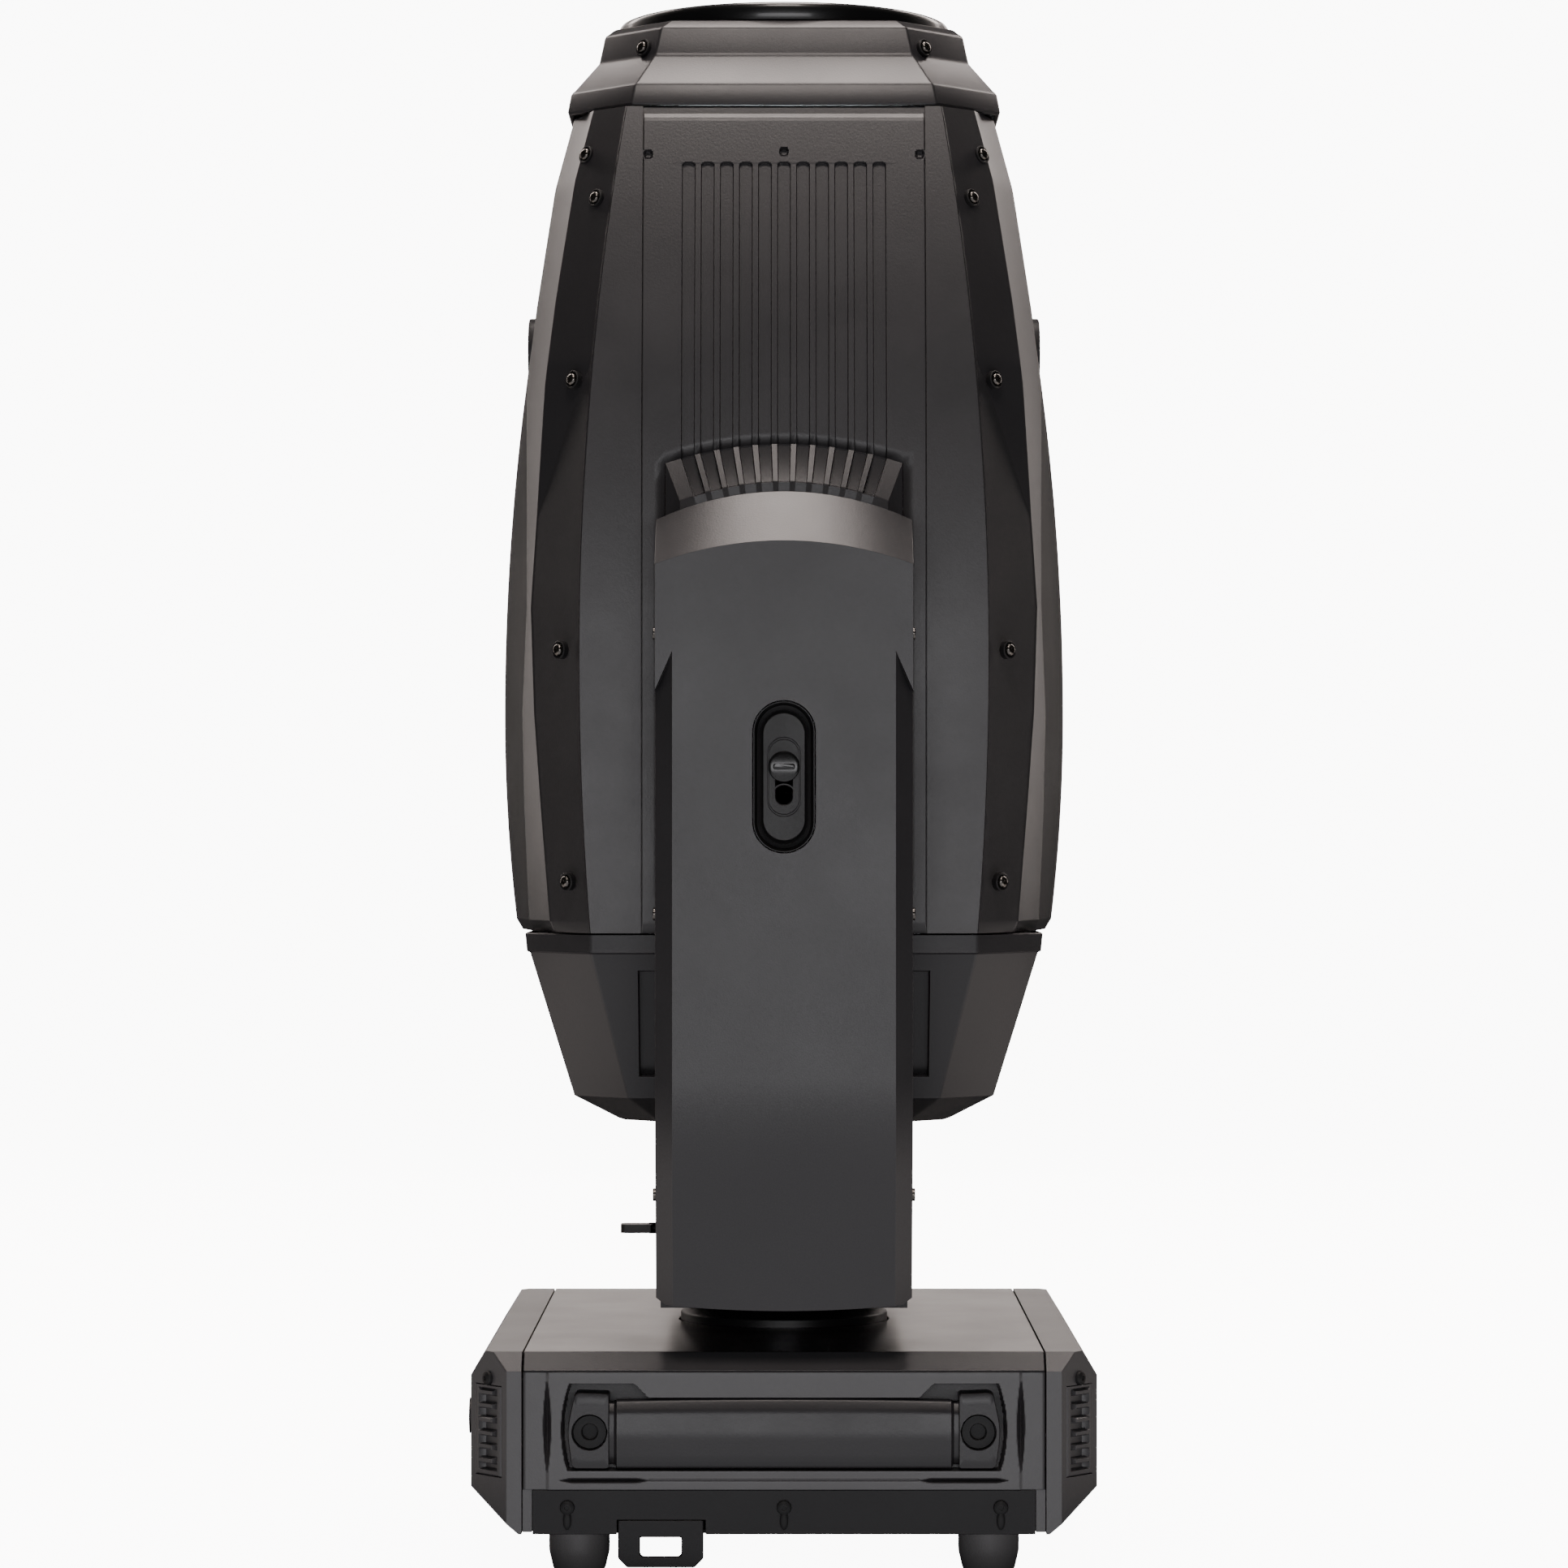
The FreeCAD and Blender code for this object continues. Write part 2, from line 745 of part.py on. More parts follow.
def pan_motor():
    """The pan motor, upright in the far arm, its shaft down through the pulley."""
    along = D["pan_motor_along"]
    return fuse(
        block((-21.0, 21.0), (along - 20.5, along + 20.5), (192.0, 236.0)),
        rod(11.0, 2.0, 0.0, along, 190.0),
        rod(2.5, 42.0, 0.0, along, 149.0),
    )


BELT_GAP, BELT_THICK, BELT_WIDE, PULLEY = 0.1, 1.5, 10.0, 8.0


def belt(big, distance):
    """A closed belt round two upright wheels, the big one at the origin and a pulley along +Y."""

    def loop(extra):
        """A stadium of unequal ends: two arcs joined by their outer tangents."""
        r_big, r_small = big + extra, PULLEY + extra
        lean = math.asin((r_big - r_small) / distance)
        cos, sin = math.cos(lean), math.sin(lean)
        right_big = FreeCAD.Vector(r_big * cos, r_big * sin, 0)
        right_small = FreeCAD.Vector(r_small * cos, distance + r_small * sin, 0)
        left_big = FreeCAD.Vector(-r_big * cos, r_big * sin, 0)
        left_small = FreeCAD.Vector(-r_small * cos, distance + r_small * sin, 0)
        top = FreeCAD.Vector(0, distance + r_small, 0)
        bottom = FreeCAD.Vector(0, -r_big, 0)
        return Part.Wire(
            [
                Part.LineSegment(right_big, right_small).toShape(),
                Part.Arc(right_small, top, left_small).toShape(),
                Part.LineSegment(left_small, left_big).toShape(),
                Part.Arc(left_big, bottom, right_big).toShape(),
            ]
        )

    face = Part.Face([loop(BELT_GAP + BELT_THICK), loop(BELT_GAP)])
    face.validate()
    return face.extrude(FreeCAD.Vector(0, 0, BELT_WIDE))


# ---------------------------------------------------------------- yoke


def make_bridge():
    """The yoke's cast cross piece: an open-bottomed channel closed by a floor plate round the shaft."""
    inner, half = D["arm_inner"], 62.0
    low, top = D["bridge_low"], D["bridge_top"]
    outer_form = mirrored_outline([(-half, low), (-half, top - 14), (-half + 12, top)])
    outer = pad("XZ", [outer_form], -inner, inner)
    inner_form = mirrored_outline([(-half + 4, low + 4), (-half + 4, top - 16), (-half + 14, top - 4)])
    hollow = pad("XZ", [inner_form], -inner - 1, inner + 1)
    seat = rod(36.05, 10.0, 0.0, 0.0, low + 4)
    throat = rod(D["pan_shaft"] + 2, 20.0, 0.0, 0.0, low - 5)
    shell = cut(outer, hollow, throat)
    ring = cut(tube(42.0, 36.05, 10.0, 0.0, 0.0, low + 4), seat)
    lever_hole = rod(3.2, 12.0, -66.0, 0.0, 160.0, along="x")
    node("yoke_bridge", cut(fuse(shell, ring), lever_hole))


def arm_outline(inset):
    """An arm seen from its side: straight flanks, a low bowed foot and a broad round top."""
    half, top = value(D["arm_half"]) - inset, value(D["arm_top"]) - inset
    low, radius = value(D["arm_low"]) + inset, value(D["arm_round"]) - inset
    shoulder = top - radius + math.sqrt(radius**2 - half**2)
    corner = 4.0

    def at(x, z):
        return FreeCAD.Vector(x, 0, z)

    edges = [
        Part.LineSegment(at(-half, low + corner), at(-half, shoulder)),
        Part.Arc(at(-half, shoulder), at(0, top), at(half, shoulder)),
        Part.LineSegment(at(half, shoulder), at(half, low + corner)),
        Part.LineSegment(at(half, low + corner), at(half - corner, low + 1)),
        Part.Arc(at(half - corner, low + 1), at(0, low - 2), at(-half + corner, low + 1)),
        Part.LineSegment(at(-half + corner, low + 1), at(-half, low + corner)),
    ]
    return Part.Wire([edge.toShape() for edge in edges])


ARM_CROWN = 28.0


def arm_solid(inset):
    """The arm's outer form on the near side, shrunk by inset, with a sloped foot and a coned crown."""
    inner, outer = value(D["arm_inner"]) + 4.0, value(D["arm_outer"]) - inset
    slab = Part.Face(arm_outline(inset)).extrude(FreeCAD.Vector(0, outer - inner, 0))
    slab.translate(FreeCAD.Vector(0, -outer, 0))
    bend, low = value(D["arm_bend"]), value(D["arm_low"]) - 5
    reach = value(D["arm_outer"]) - 20 - inset
    wedge = Part.Face(
        Part.makePolygon(
            [
                FreeCAD.Vector(-90, -outer - 1, low),
                FreeCAD.Vector(-90, -reach, low),
                FreeCAD.Vector(-90, -outer, bend),
                FreeCAD.Vector(-90, -outer - 1, bend),
                FreeCAD.Vector(-90, -outer - 1, low),
            ]
        )
    ).extrude(FreeCAD.Vector(180, 0, 0))
    centre = value(D["arm_top"]) - value(D["arm_round"])
    round_edge = value(D["arm_round"]) - inset
    crown = Part.makeCone(
        round_edge - ARM_CROWN,
        round_edge,
        ARM_CROWN,
        FreeCAD.Vector(0, -outer, centre),
        FreeCAD.Vector(0, 1, 0),
    )
    rest = Part.makeCylinder(
        round_edge + 1,
        outer - inner - ARM_CROWN + 1,
        FreeCAD.Vector(0, -outer + ARM_CROWN, centre),
        FreeCAD.Vector(0, 1, 0),
    )
    lower = Part.makeBox(200, 200, centre + 40 - low, FreeCAD.Vector(-100, -outer - 50, low - 5))
    return slab.common(crown.fuse([rest, lower])).cut(wedge).removeSplitter()


REBATE_IN, REBATE_DEEP, REBATE_TOP = 55.0, 6.0, 462.0


def arm_rebate(side):
    """The stepped flank of an arm's face, which runs out to a point near the tilt axis."""
    outer, half = value(D["arm_outer"]), value(D["arm_half"]) + 1
    low = value(D["arm_low"]) - 6
    profile = Part.makePolygon(
        [
            FreeCAD.Vector(side * REBATE_IN, -outer - 1, low),
            FreeCAD.Vector(side * (REBATE_IN + 5), -outer + REBATE_DEEP, low),
            FreeCAD.Vector(side * half, -outer + REBATE_DEEP, low),
            FreeCAD.Vector(side * half, -outer - 1, low),
            FreeCAD.Vector(side * REBATE_IN, -outer - 1, low),
        ]
    )
    bar = Part.Face(profile).extrude(FreeCAD.Vector(0, 0, REBATE_TOP - low))
    point = Part.Face(
        Part.makePolygon(
            [
                FreeCAD.Vector(side * (REBATE_IN - 1), -outer - 2, REBATE_TOP),
                FreeCAD.Vector(side * (half + 1), -outer - 2, REBATE_TOP + 1),
                FreeCAD.Vector(side * (half + 1), -outer - 2, REBATE_TOP - 24),
                FreeCAD.Vector(side * (REBATE_IN - 1), -outer - 2, REBATE_TOP),
            ]
        )
    ).extrude(FreeCAD.Vector(0, REBATE_DEEP + 4, 0))
    return bar.cut(point)


LOCK_SLOT_HALF, LOCK_SLOT_REACH = 15.5, 22.0


def stadium(half_width, reach, y, depth, z):
    """An upright stadium block: two half rounds joined by a rectangle."""
    centre = FreeCAD.Vector(0, y, z)
    along = FreeCAD.Vector(0, 1, 0)
    top = Part.makeCylinder(half_width, depth, centre + FreeCAD.Vector(0, 0, reach), along)
    bottom = Part.makeCylinder(half_width, depth, centre - FreeCAD.Vector(0, 0, reach), along)
    middle = Part.makeBox(
        2 * half_width, depth, 2 * reach, FreeCAD.Vector(-half_width, y, z - reach)
    )
    return top.fuse([bottom, middle]).removeSplitter()


def make_arm_covers():
    """The two moulded arm covers. The near one has the lock's stadium opening."""
    skin = value(D["arm_skin"])
    shell = arm_solid(0.0)
    for side in BOTH:
        shell = shell.cut(arm_rebate(side))
    hollow = arm_solid(skin)
    for side in BOTH:
        lining = arm_rebate(side)
        lining.translate(FreeCAD.Vector(-side * skin, skin, 0))
        hollow = hollow.cut(lining)
    extra = hollow.copy()
    extra.translate(FreeCAD.Vector(0, 2, 0))
    mouth = hollow.fuse(extra).removeSplitter()
    shell = shell.cut(mouth).removeSplitter()
    tilt = value(D["tilt_height"]) - 2
    opening = stadium(
        LOCK_SLOT_HALF, LOCK_SLOT_REACH, -value(D["arm_outer"]) - 2, 8.0, tilt
    )
    near = feature(shell.cut(opening))
    node("arm_cover_left", near)
    far = feature(shell)
    node("arm_cover_right", turned_copy(far))
    doc.removeObject(far.Name)


def make_arm_frames():
    """The steel plates that carry the head's bearings, bolted to the bridge."""
    top = D["arm_top"] - 8
    outline = mirrored_outline(
        [(-59.0, D["arm_low"] + 4), (-59.0, top - 16), (-40.0, top - 6), (-14.0, top)]
    )
    frames = []
    for side in BOTH:
        span = (-(D["arm_inner"] + 4), -D["arm_inner"])
        if side > 0:
            span = (D["arm_inner"], D["arm_inner"] + 4)
        loops = [outline, (0.0, D["tilt_height"], 34.05)]
        if side > 0:
            loops.append(rectangle((-46.0, 46.0), (D["pan_belt_low"] - 4, D["pan_belt_low"] + 16)))
        frames.append(pad("XZ", loops, *span))
    node("arm_frames", group(*frames))


TILT_MOTOR_Z = 262.0
TILT_BELT_Y = -180.0


def tilt_motor():
    """The tilt motor low in the near arm, its shaft level through the pulley."""
    return fuse(
        block((-21.0, 21.0), (-208.5, -183.5), (TILT_MOTOR_Z - 21, TILT_MOTOR_Z + 21)),
        rod(11.0, 1.5, 0.0, -183.5, TILT_MOTOR_Z, along="y"),
        rod(2.5, 16.0, 0.0, -183.5, TILT_MOTOR_Z, along="y"),
    )


def make_tilt_drive():
    """The tilt motor's pulley and the wheel on the head's hub, with both axes' motors, bearings and belts."""
    tilt, hub = D["tilt_height"], D["hub_radius"]
    node("tilt_motor_pulley", tube(8.0, 2.55, 12.0, 0.0, TILT_BELT_Y, TILT_MOTOR_Z, along="y"))
    node("tilt_wheel", tube(D["tilt_wheel"], hub, 12.0, 0.0, TILT_BELT_Y, tilt, along="y"))
    node("drive_motors", group(pan_motor(), tilt_motor()))
    inner = D["arm_inner"]
    bearings = [
        tube(34.0, hub + 0.05, 8.0, 0.0, -(inner + 8), tilt, along="y"),
        tube(34.0, hub + 0.05, 8.0, 0.0, inner, tilt, along="y"),
        tube(36.0, D["pan_shaft"] + 0.05, 10.0, 0.0, 0.0, D["bridge_low"] + 4),
    ]
    node("axis_bearings", group(*bearings))
    pan_belt = belt(value(D["pan_wheel"]), value(D["pan_motor_along"]))
    pan_belt.translate(FreeCAD.Vector(0, 0, value(D["pan_belt_low"]) + 1))
    tilt_belt = belt(value(D["tilt_wheel"]), value(tilt) - TILT_MOTOR_Z)
    tilt_belt.rotate(FreeCAD.Vector(), FreeCAD.Vector(1, 0, 0), -90)
    tilt_belt.translate(FreeCAD.Vector(0, TILT_BELT_Y + 1, value(tilt)))
    node("drive_belts", feature(Part.makeCompound([pan_belt, tilt_belt])))


LOCK_OPEN_Z, LOCK_SHUT_Z = 403.0, 388.6


def make_tilt_lock():
    """The tilt lock in the near arm: a stadium bezel with a guide slot, and the knob that slides down it."""
    face, tilt = value(D["arm_outer"]), value(D["tilt_height"]) - 2
    body = stadium(LOCK_SLOT_HALF - 0.1, LOCK_SLOT_REACH, -face + 2.0, 7.0, tilt)
    groove_out = stadium(LOCK_SLOT_HALF - 0.9, LOCK_SLOT_REACH, -face + 1.0, 5.5, tilt)
    groove_in = stadium(10.2, 21.0, -face + 1.0, 5.5, tilt)
    middle, reach = (LOCK_OPEN_Z + LOCK_SHUT_Z) / 2, (LOCK_OPEN_Z - LOCK_SHUT_Z) / 2
    face_cut = stadium(10.3, 21.0, -face + 1.9, 2.0, tilt)
    guide = stadium(3.8, reach, -face - 1, 12.0, middle)
    well = Part.makeCylinder(5.8, 8.0, FreeCAD.Vector(0, -face - 1, LOCK_SHUT_Z), FreeCAD.Vector(0, 1, 0))
    bezel = body.cut(groove_out.cut(groove_in)).cut(face_cut).cut(guide).cut(well)
    node("tilt_lock_bezel", feature(bezel.removeSplitter()))
    profile = [(0.0, 0.0), (3.7, 0.0), (3.7, 7.9), (7.7, 7.9), (7.7, 9.6), (6.4, 10.8), (0.0, 10.8)]
    node(
        "tilt_lock_knob",
        turned(profile, 0.0, -(D["arm_outer"] - 11.0), LOCK_OPEN_Z, along="y", flip=True),
    )


def make_pan_lock():
    """The pan lock: a flat lever on a steel stem that slides in the bridge's side."""
    stem = rod(3.0, 18.0, -72.0, 0.0, 160.0, along="x")
    paddle = pad(
        "XY",
        [
            [
                (-87.0, -5.0),
                (-85.0, -7.0),
                (-71.0, -7.0),
                (-70.0, -5.0),
                (-70.0, 5.0),
                (-71.0, 7.0),
                (-85.0, 7.0),
                (-87.0, 5.0),
            ]
        ],
        157.7,
        162.3,
    )
    node("pan_lock_lever", fuse(stem, paddle))


def make_arm_screws():
    """The screws on the flanks of both arm covers."""
    screws = []
    for side in BOTH:
        for sx in BOTH:
            for z in (190.0, 330.0, 470.0):
                x = D["arm_half"] if sx > 0 else -(D["arm_half"] + 2)
                screws.append(rod(3.2, 2.0, x, side * 172.0, z, along="x"))
    node("arm_cover_screws", group(*screws))


# ---------------------------------------------------------------- head: skin


def swell(belly, neck, belly_at, z, foot_share=1.5):
    """A half size of the head at height z: a parabola, widest at belly_at and neck at the head's neck."""
    neck_z = value(D["head_neck"])
    drop = (value(D[belly]) - value(D[neck])) / (neck_z - value(D[belly_at])) ** 2
    away = z - value(D[belly_at])
    if away < 0:
        drop = drop * foot_share
    return value(D[belly]) - drop * away**2


def half_depth(z):
    """Half the head along X."""
    return swell("head_depth", "head_neck_depth", "head_depth_at", z)


def half_width(z):
    """Half the head along Y, at the side plates. It stays full below its widest place."""
    return swell("head_width", "head_neck_width", "head_width_at", z, foot_share=0.0)


def half_plate(z):
    """Half the width of a side plate along X."""
    return swell("plate_half", "plate_neck_half", "plate_half_at", z, foot_share=1.0)


# Each corner of a cover's section: its share of the way out along X, and of the half width along Y.
COVER_CORNERS = ((0.57, 0.83), (0.86, 0.62), (1.0, 0.30))


def stations(low, high, count):
    """Heights spaced evenly from low to high."""
    return [low + (high - low) * i / (count - 1) for i in range(count)]


def closed_wire(points, z):
    """A closed polygon at height z."""
    corners = [FreeCAD.Vector(x, y, z) for x, y in points]
    return Part.makePolygon(corners + corners[:1])


def loft(sections, smooth=True):
    """A solid through (height, corners) sections."""
    wires = [closed_wire(points, z) for z, points in sections]
    return Part.makeLoft(wires, True, not smooth)


SEAM = 0.4


def cover_section(z, grow=0.0):
    """The left cover's wall at height z: its outer corners, then its inner ones."""
    skin = value(D["head_skin"])
    plate, depth, width = half_plate(z) + SEAM, half_depth(z) + grow, half_width(z)
    outer = [(-plate, -width)]
    outer += [(-(plate + (depth - plate) * sx), -width * sy) for sx, sy in COVER_CORNERS]
    inner = [(-plate, -(width - skin * 1.3))]
    for sx, sy in COVER_CORNERS:
        inner.append((-(plate + (depth - plate) * sx - skin), -(width * sy - skin * 0.6)))
    outer += [(x, -y) for x, y in reversed(outer)]
    inner += [(x, -y) for x, y in reversed(inner)]
    return outer + inner[::-1]


DISC_Z, DISC_RADIUS, DISC_PROUD = 626.0, 19.0, 2.0


def make_head_covers():
    """The two moulded covers of the head, with a plain raised disc on each."""
    heights = stations(value(D["head_foot"]), value(D["head_neck"]) - 1, 6)
    shape = loft([(z, cover_section(z)) for z in heights])
    disc_face = FreeCAD.Vector(-half_depth(DISC_Z) - DISC_PROUD, 0, DISC_Z)
    disc = Part.makeCylinder(DISC_RADIUS, DISC_PROUD + 3.0, disc_face, FreeCAD.Vector(1, 0, 0))
    left = feature(shape.fuse(disc))
    node("head_cover_left", left)
    node("head_cover_right", turned_copy(left))


PANEL_THICK = 3.0
HUB_LOW, HUB_HIGH, HUB_HALF = 338.0, 562.0, 60.0


def plate_section(z):
    """The near side plate's wall at height z: a web with a raised border that frames the slotted panel."""
    plate, seat, width = half_plate(z), value(D["panel_half"]), half_width(z)
    return [
        (-plate, -width),
        (-seat, -width),
        (-seat, -(width - PANEL_THICK)),
        (seat, -(width - PANEL_THICK)),
        (seat, -width),
        (plate, -width),
        (plate, -(width - 2 * PANEL_THICK)),
        (-plate, -(width - 2 * PANEL_THICK)),
    ]


def panel_section(z):
    """The near slotted panel's wall at height z."""
    seat, width = value(D["panel_half"]) - 0.4, half_width(z)
    return [
        (-seat, -width),
        (seat, -width),
        (seat, -(width - PANEL_THICK)),
        (-seat, -(width - PANEL_THICK)),
    ]


def hub_opening():
    """The opening round the tilt hub in a near side plate and panel."""
    return Part.makeBox(
        2 * HUB_HALF, 60, HUB_HIGH - HUB_LOW, FreeCAD.Vector(-HUB_HALF, -170, HUB_LOW)
    )


def make_side_plates():
    """The head's side plates and, seated in them, the panels with eleven cooling slots."""
    heights = stations(value(D["head_foot"]), value(D["head_neck"]) - 1, 6)
    plate = loft([(z, plate_section(z)) for z in heights]).cut(hub_opening())
    near = feature(plate)
    node("side_plate_left", near)
    node("side_plate_right", turned_copy(near))
    panel = loft([(z, panel_section(z)) for z in heights]).cut(hub_opening())
    slot_half, slot_top = value(D["slot_width"]) / 2, 709.0
    for i in range(-5, 6):
        x = i * value(D["slot_pitch"])
        channel = Part.makeBox(
            2 * slot_half, 60, slot_top - HUB_HIGH + 1, FreeCAD.Vector(x - slot_half, -170, HUB_HIGH - 1)
        )
        end = Part.makeCylinder(
            slot_half, 60, FreeCAD.Vector(x, -170, slot_top), FreeCAD.Vector(0, 1, 0)
        )
        panel = panel.cut(channel.fuse(end))
    near_panel = feature(panel)
    node("vent_panels", group(near_panel, turned_copy(near_panel)))


HUB_FLOOR = 131.0
BOSS_FOOT, BOSS_FACE = 144.2, 155.5
BOSS_WALL = 2.0
BOSS_SIDE, BOSS_LOW, BOSS_HIGH = 7.0, 12.0, 20.0


def boss_section(y, share, wall):
    """A rectangle round the tilt hub at depth y: share of the way up the boss's slopes, shrunk by its wall."""
    half = HUB_HALF - 0.3 - BOSS_SIDE * share - wall
    low = HUB_LOW + 0.3 + BOSS_LOW * share + wall
    high = HUB_HIGH - 0.3 - BOSS_HIGH * share - wall
    corners = [(-half, low), (half, low), (half, high), (-half, high)]
    points = [FreeCAD.Vector(x, -y, z) for x, z in corners]
    return Part.makePolygon(points + points[:1])


def make_hub_bosses():
    """The raised housings round the tilt hubs, in the side plates' openings, with sloping sides and a flat face."""
    rim = half_width(HUB_HIGH)
    outer_steps = [(BOSS_FOOT, 0.0, 0.0), (rim, 0.0, 0.0), (BOSS_FACE, 1.0, 0.0)]
    inner_steps = [
        (BOSS_FOOT - 0.1, 0.0, BOSS_WALL),
        (rim - BOSS_WALL, 0.0, BOSS_WALL),
        (BOSS_FACE - BOSS_WALL, 1.0, BOSS_WALL),
    ]
    outer = Part.makeLoft([boss_section(*step) for step in outer_steps], True, True)
    inner = Part.makeLoft([boss_section(*step) for step in inner_steps], True, True)
    bore = value(D["hub_radius"]) + 0.3
    centre = FreeCAD.Vector(0, -170, value(D["tilt_height"]))
    hole = Part.makeCylinder(bore, 60, centre, FreeCAD.Vector(0, 1, 0))
    near = feature(outer.cut(inner).cut(hole))
    node("hub_bosses", group(near, turned_copy(near)))


def make_hubs():
    """The hollow tilt hubs: a flange inside the boss and a tube that runs in the arm's bearing."""
    tilt, floor = D["tilt_height"], HUB_FLOOR + 2
    hubs = []
    for side in BOTH:
        reach = 182.0 if side < 0 else 168.0
        if side < 0:
            flange = tube(40.0, 18.0, 6.0, 0.0, -(floor + 6), tilt, along="y")
            pipe = tube(D["hub_radius"], 18.0, reach - floor, 0.0, -reach, tilt, along="y")
        else:
            flange = tube(40.0, 18.0, 6.0, 0.0, floor, tilt, along="y")
            pipe = tube(D["hub_radius"], 18.0, reach - floor, 0.0, floor, tilt, along="y")
        hubs.append(fuse(flange, pipe))
    node("tilt_hubs", group(*hubs))


def square_section(half_x, half_y, flat_x, flat_y):
    """A rectangle with cut corners; flat_x and flat_y are half the lengths of its sides."""
    quarter = [(half_x, -flat_y), (half_x, flat_y), (flat_x, half_y), (-flat_x, half_y)]
    return quarter + [(-x, -y) for x, y in quarter]


def make_nose():
    """The nose cowl: a stepped frustum with cut corners that carries the lens bezel."""
    neck = value(D["head_neck"])
    skin = 3.0
    steps = [
        (neck, 112.0, 78.0),
        (754.0, 110.0, 76.0),
        (770.5, 96.0, 66.0),
        (785.5, 93.0, 63.0),
        (790.0, 88.0, 58.0),
    ]
    outer = loft([(z, square_section(h, h, f, f)) for z, h, f in steps], smooth=False)
    lining = [(z - (0 if i == 0 else 3.0), h - skin, f - skin * 0.4) for i, (z, h, f) in enumerate(steps)]
    inner = loft([(z, square_section(h, h, f, f)) for z, h, f in lining], smooth=False)
    mouth = Part.makeCylinder(80.5, 30, FreeCAD.Vector(0, 0, 776))
    ledge = Part.makeCylinder(93.6, 3, FreeCAD.Vector(0, 0, 773))
    ledge = ledge.cut(Part.makeCylinder(77, 5, FreeCAD.Vector(0, 0, 772)))
    node("nose_cowl", feature(outer.cut(inner).cut(mouth).fuse(ledge)))


def make_bezel_and_lens():
    """The front lens, held in the nose by a turned ring."""
    tip, radius = D["head_tip"], D["bezel_radius"]
    bezel = turned(
        [
            (77.5, tip - 20.5),
            (80.4, tip - 20.5),
            (80.4, tip - 10),
            (radius, tip - 10),
            (radius, tip - 2.5),
            (radius - 2.5, tip),
            (82.0, tip),
            (78.5, tip - 4),
            (77.5, tip - 6),
        ]
    )
    node("lens_bezel", bezel)
    crown, dome = value(tip) - 6.0, 210.0
    ball = Part.makeSphere(dome, FreeCAD.Vector(0, 0, crown - dome))
    blank = Part.makeCylinder(value(D["lens_radius"]) + 2.0, 30, FreeCAD.Vector(0, 0, 776))
    node("front_lens", feature(ball.common(blank)))


def make_tail():
    """The tail cowl: a tapering box with cut corners and a round fan opening in its foot."""
    foot = value(D["tail_foot"])
    steps = [
        (value(D["head_foot"]) - 0.4, 133.0, 146.0, 98.0, 100.0),
        (309.0, 132.0, 145.0, 98.0, 100.0),
        (235.0, 110.0, 114.0, 80.0, 84.0),
        (foot, 85.0, 88.0, 64.0, 66.0),
    ]
    outer = loft([(z, square_section(*sizes)) for z, *sizes in steps], smooth=False)
    lining = [
        (z + (3.0 if z < 300 else 0.0) - (1.0 if i == 0 else 0.0), hx - 3, hy - 3, fx - 1.2, fy - 1.2)
        for i, (z, hx, hy, fx, fy) in enumerate(steps)
    ]
    lining[0] = (value(D["head_foot"]) + 1, *lining[0][1:])
    inner = loft([(z, square_section(*sizes)) for z, *sizes in lining], smooth=False)
    mouth = Part.makeCylinder(58, 20, FreeCAD.Vector(0, 0, foot - 5))
    node("tail_cowl", feature(outer.cut(inner).cut(mouth)))
    ring = tube(62.0, 54.0, 2.0, 0.0, 0.0, foot + 3)
    rings = [tube(r, r - 2.0, 2.0, 0.0, 0.0, foot + 3) for r in (46.0, 34.0, 22.0)]
    hub = rod(11.0, 2.0, 0.0, 0.0, foot + 3)
    spokes = [block((-56.0, 56.0), (-1.5, 1.5), (foot + 3, foot + 5))]
    spokes.append(block((-1.5, 1.5), (-56.0, 56.0), (foot + 3, foot + 5)))
    frame = cut(
        block((-60.0, 60.0), (-60.0, 60.0), (foot + 5, foot + 27)),
        rod(56.5, 30.0, 0.0, 0.0, foot + 4),
    )
    bolt_holes = [rod(2.2, 30.0, sx * 52.5, sy * 52.5, foot + 4) for sx in BOTH for sy in BOTH]
    node("tail_fan_frame", fuse(cut(frame, *bolt_holes), ring, *rings, hub, *spokes))
    node("tail_fan_rotor", fan_rotor(55.0, 16.0, 0.0, 0.0, foot + 8, "z"))


COVER_SCREW_HEIGHTS = (718.0, 694.0, 600.0, 463.0, 346.0)
SCREW_GAP = 0.15


def facet_point(z, share):
    """A point on a cover's facet beside the side plate, share of the way across it, as positive x and y."""
    plate, width = half_plate(z) + SEAM, half_width(z)
    share_x, share_y = COVER_CORNERS[0]
    x = plate + (half_depth(z) - plate) * share_x * share
    return FreeCAD.Vector(x, width + width * (share_y - 1) * share, z)


def make_head_screws():
    """Pan head screws on the near facets of the two head covers, and one at each corner of the nose."""
    seats = []
    for z in COVER_SCREW_HEIGHTS:
        share = 0.85 if z > 710 else 0.36
        across = facet_point(z, share + 0.1) - facet_point(z, share - 0.1)
        up = facet_point(z + 5, share) - facet_point(z - 5, share)
        seats.append((facet_point(z, share), up.cross(across).normalize()))
    seats.append((FreeCAD.Vector(71.5, 88.7, 775.0), FreeCAD.Vector(1, 1, 0.4).normalize()))
    heads = []
    for spot, out in seats:
        if out.y < 0:
            out = out * -1
        for sx in BOTH:
            for sy in BOTH:
                way = FreeCAD.Vector(sx * out.x, sy * out.y, out.z)
                at = FreeCAD.Vector(sx * spot.x, sy * spot.y, spot.z) + way * SCREW_GAP
                heads.append(Part.makeCylinder(3.7, 2.4, at, way))
    node("head_screws", feature(Part.makeCompound(heads)))


# ---------------------------------------------------------------- head: what it holds


PLATE_THICK = 3.0
RAIL_AT = 62.0
LOW_PLATE_Z, MIDDLE_PLATE_Z, TOP_PLATE_Z = 342.0, 462.0, 736.0


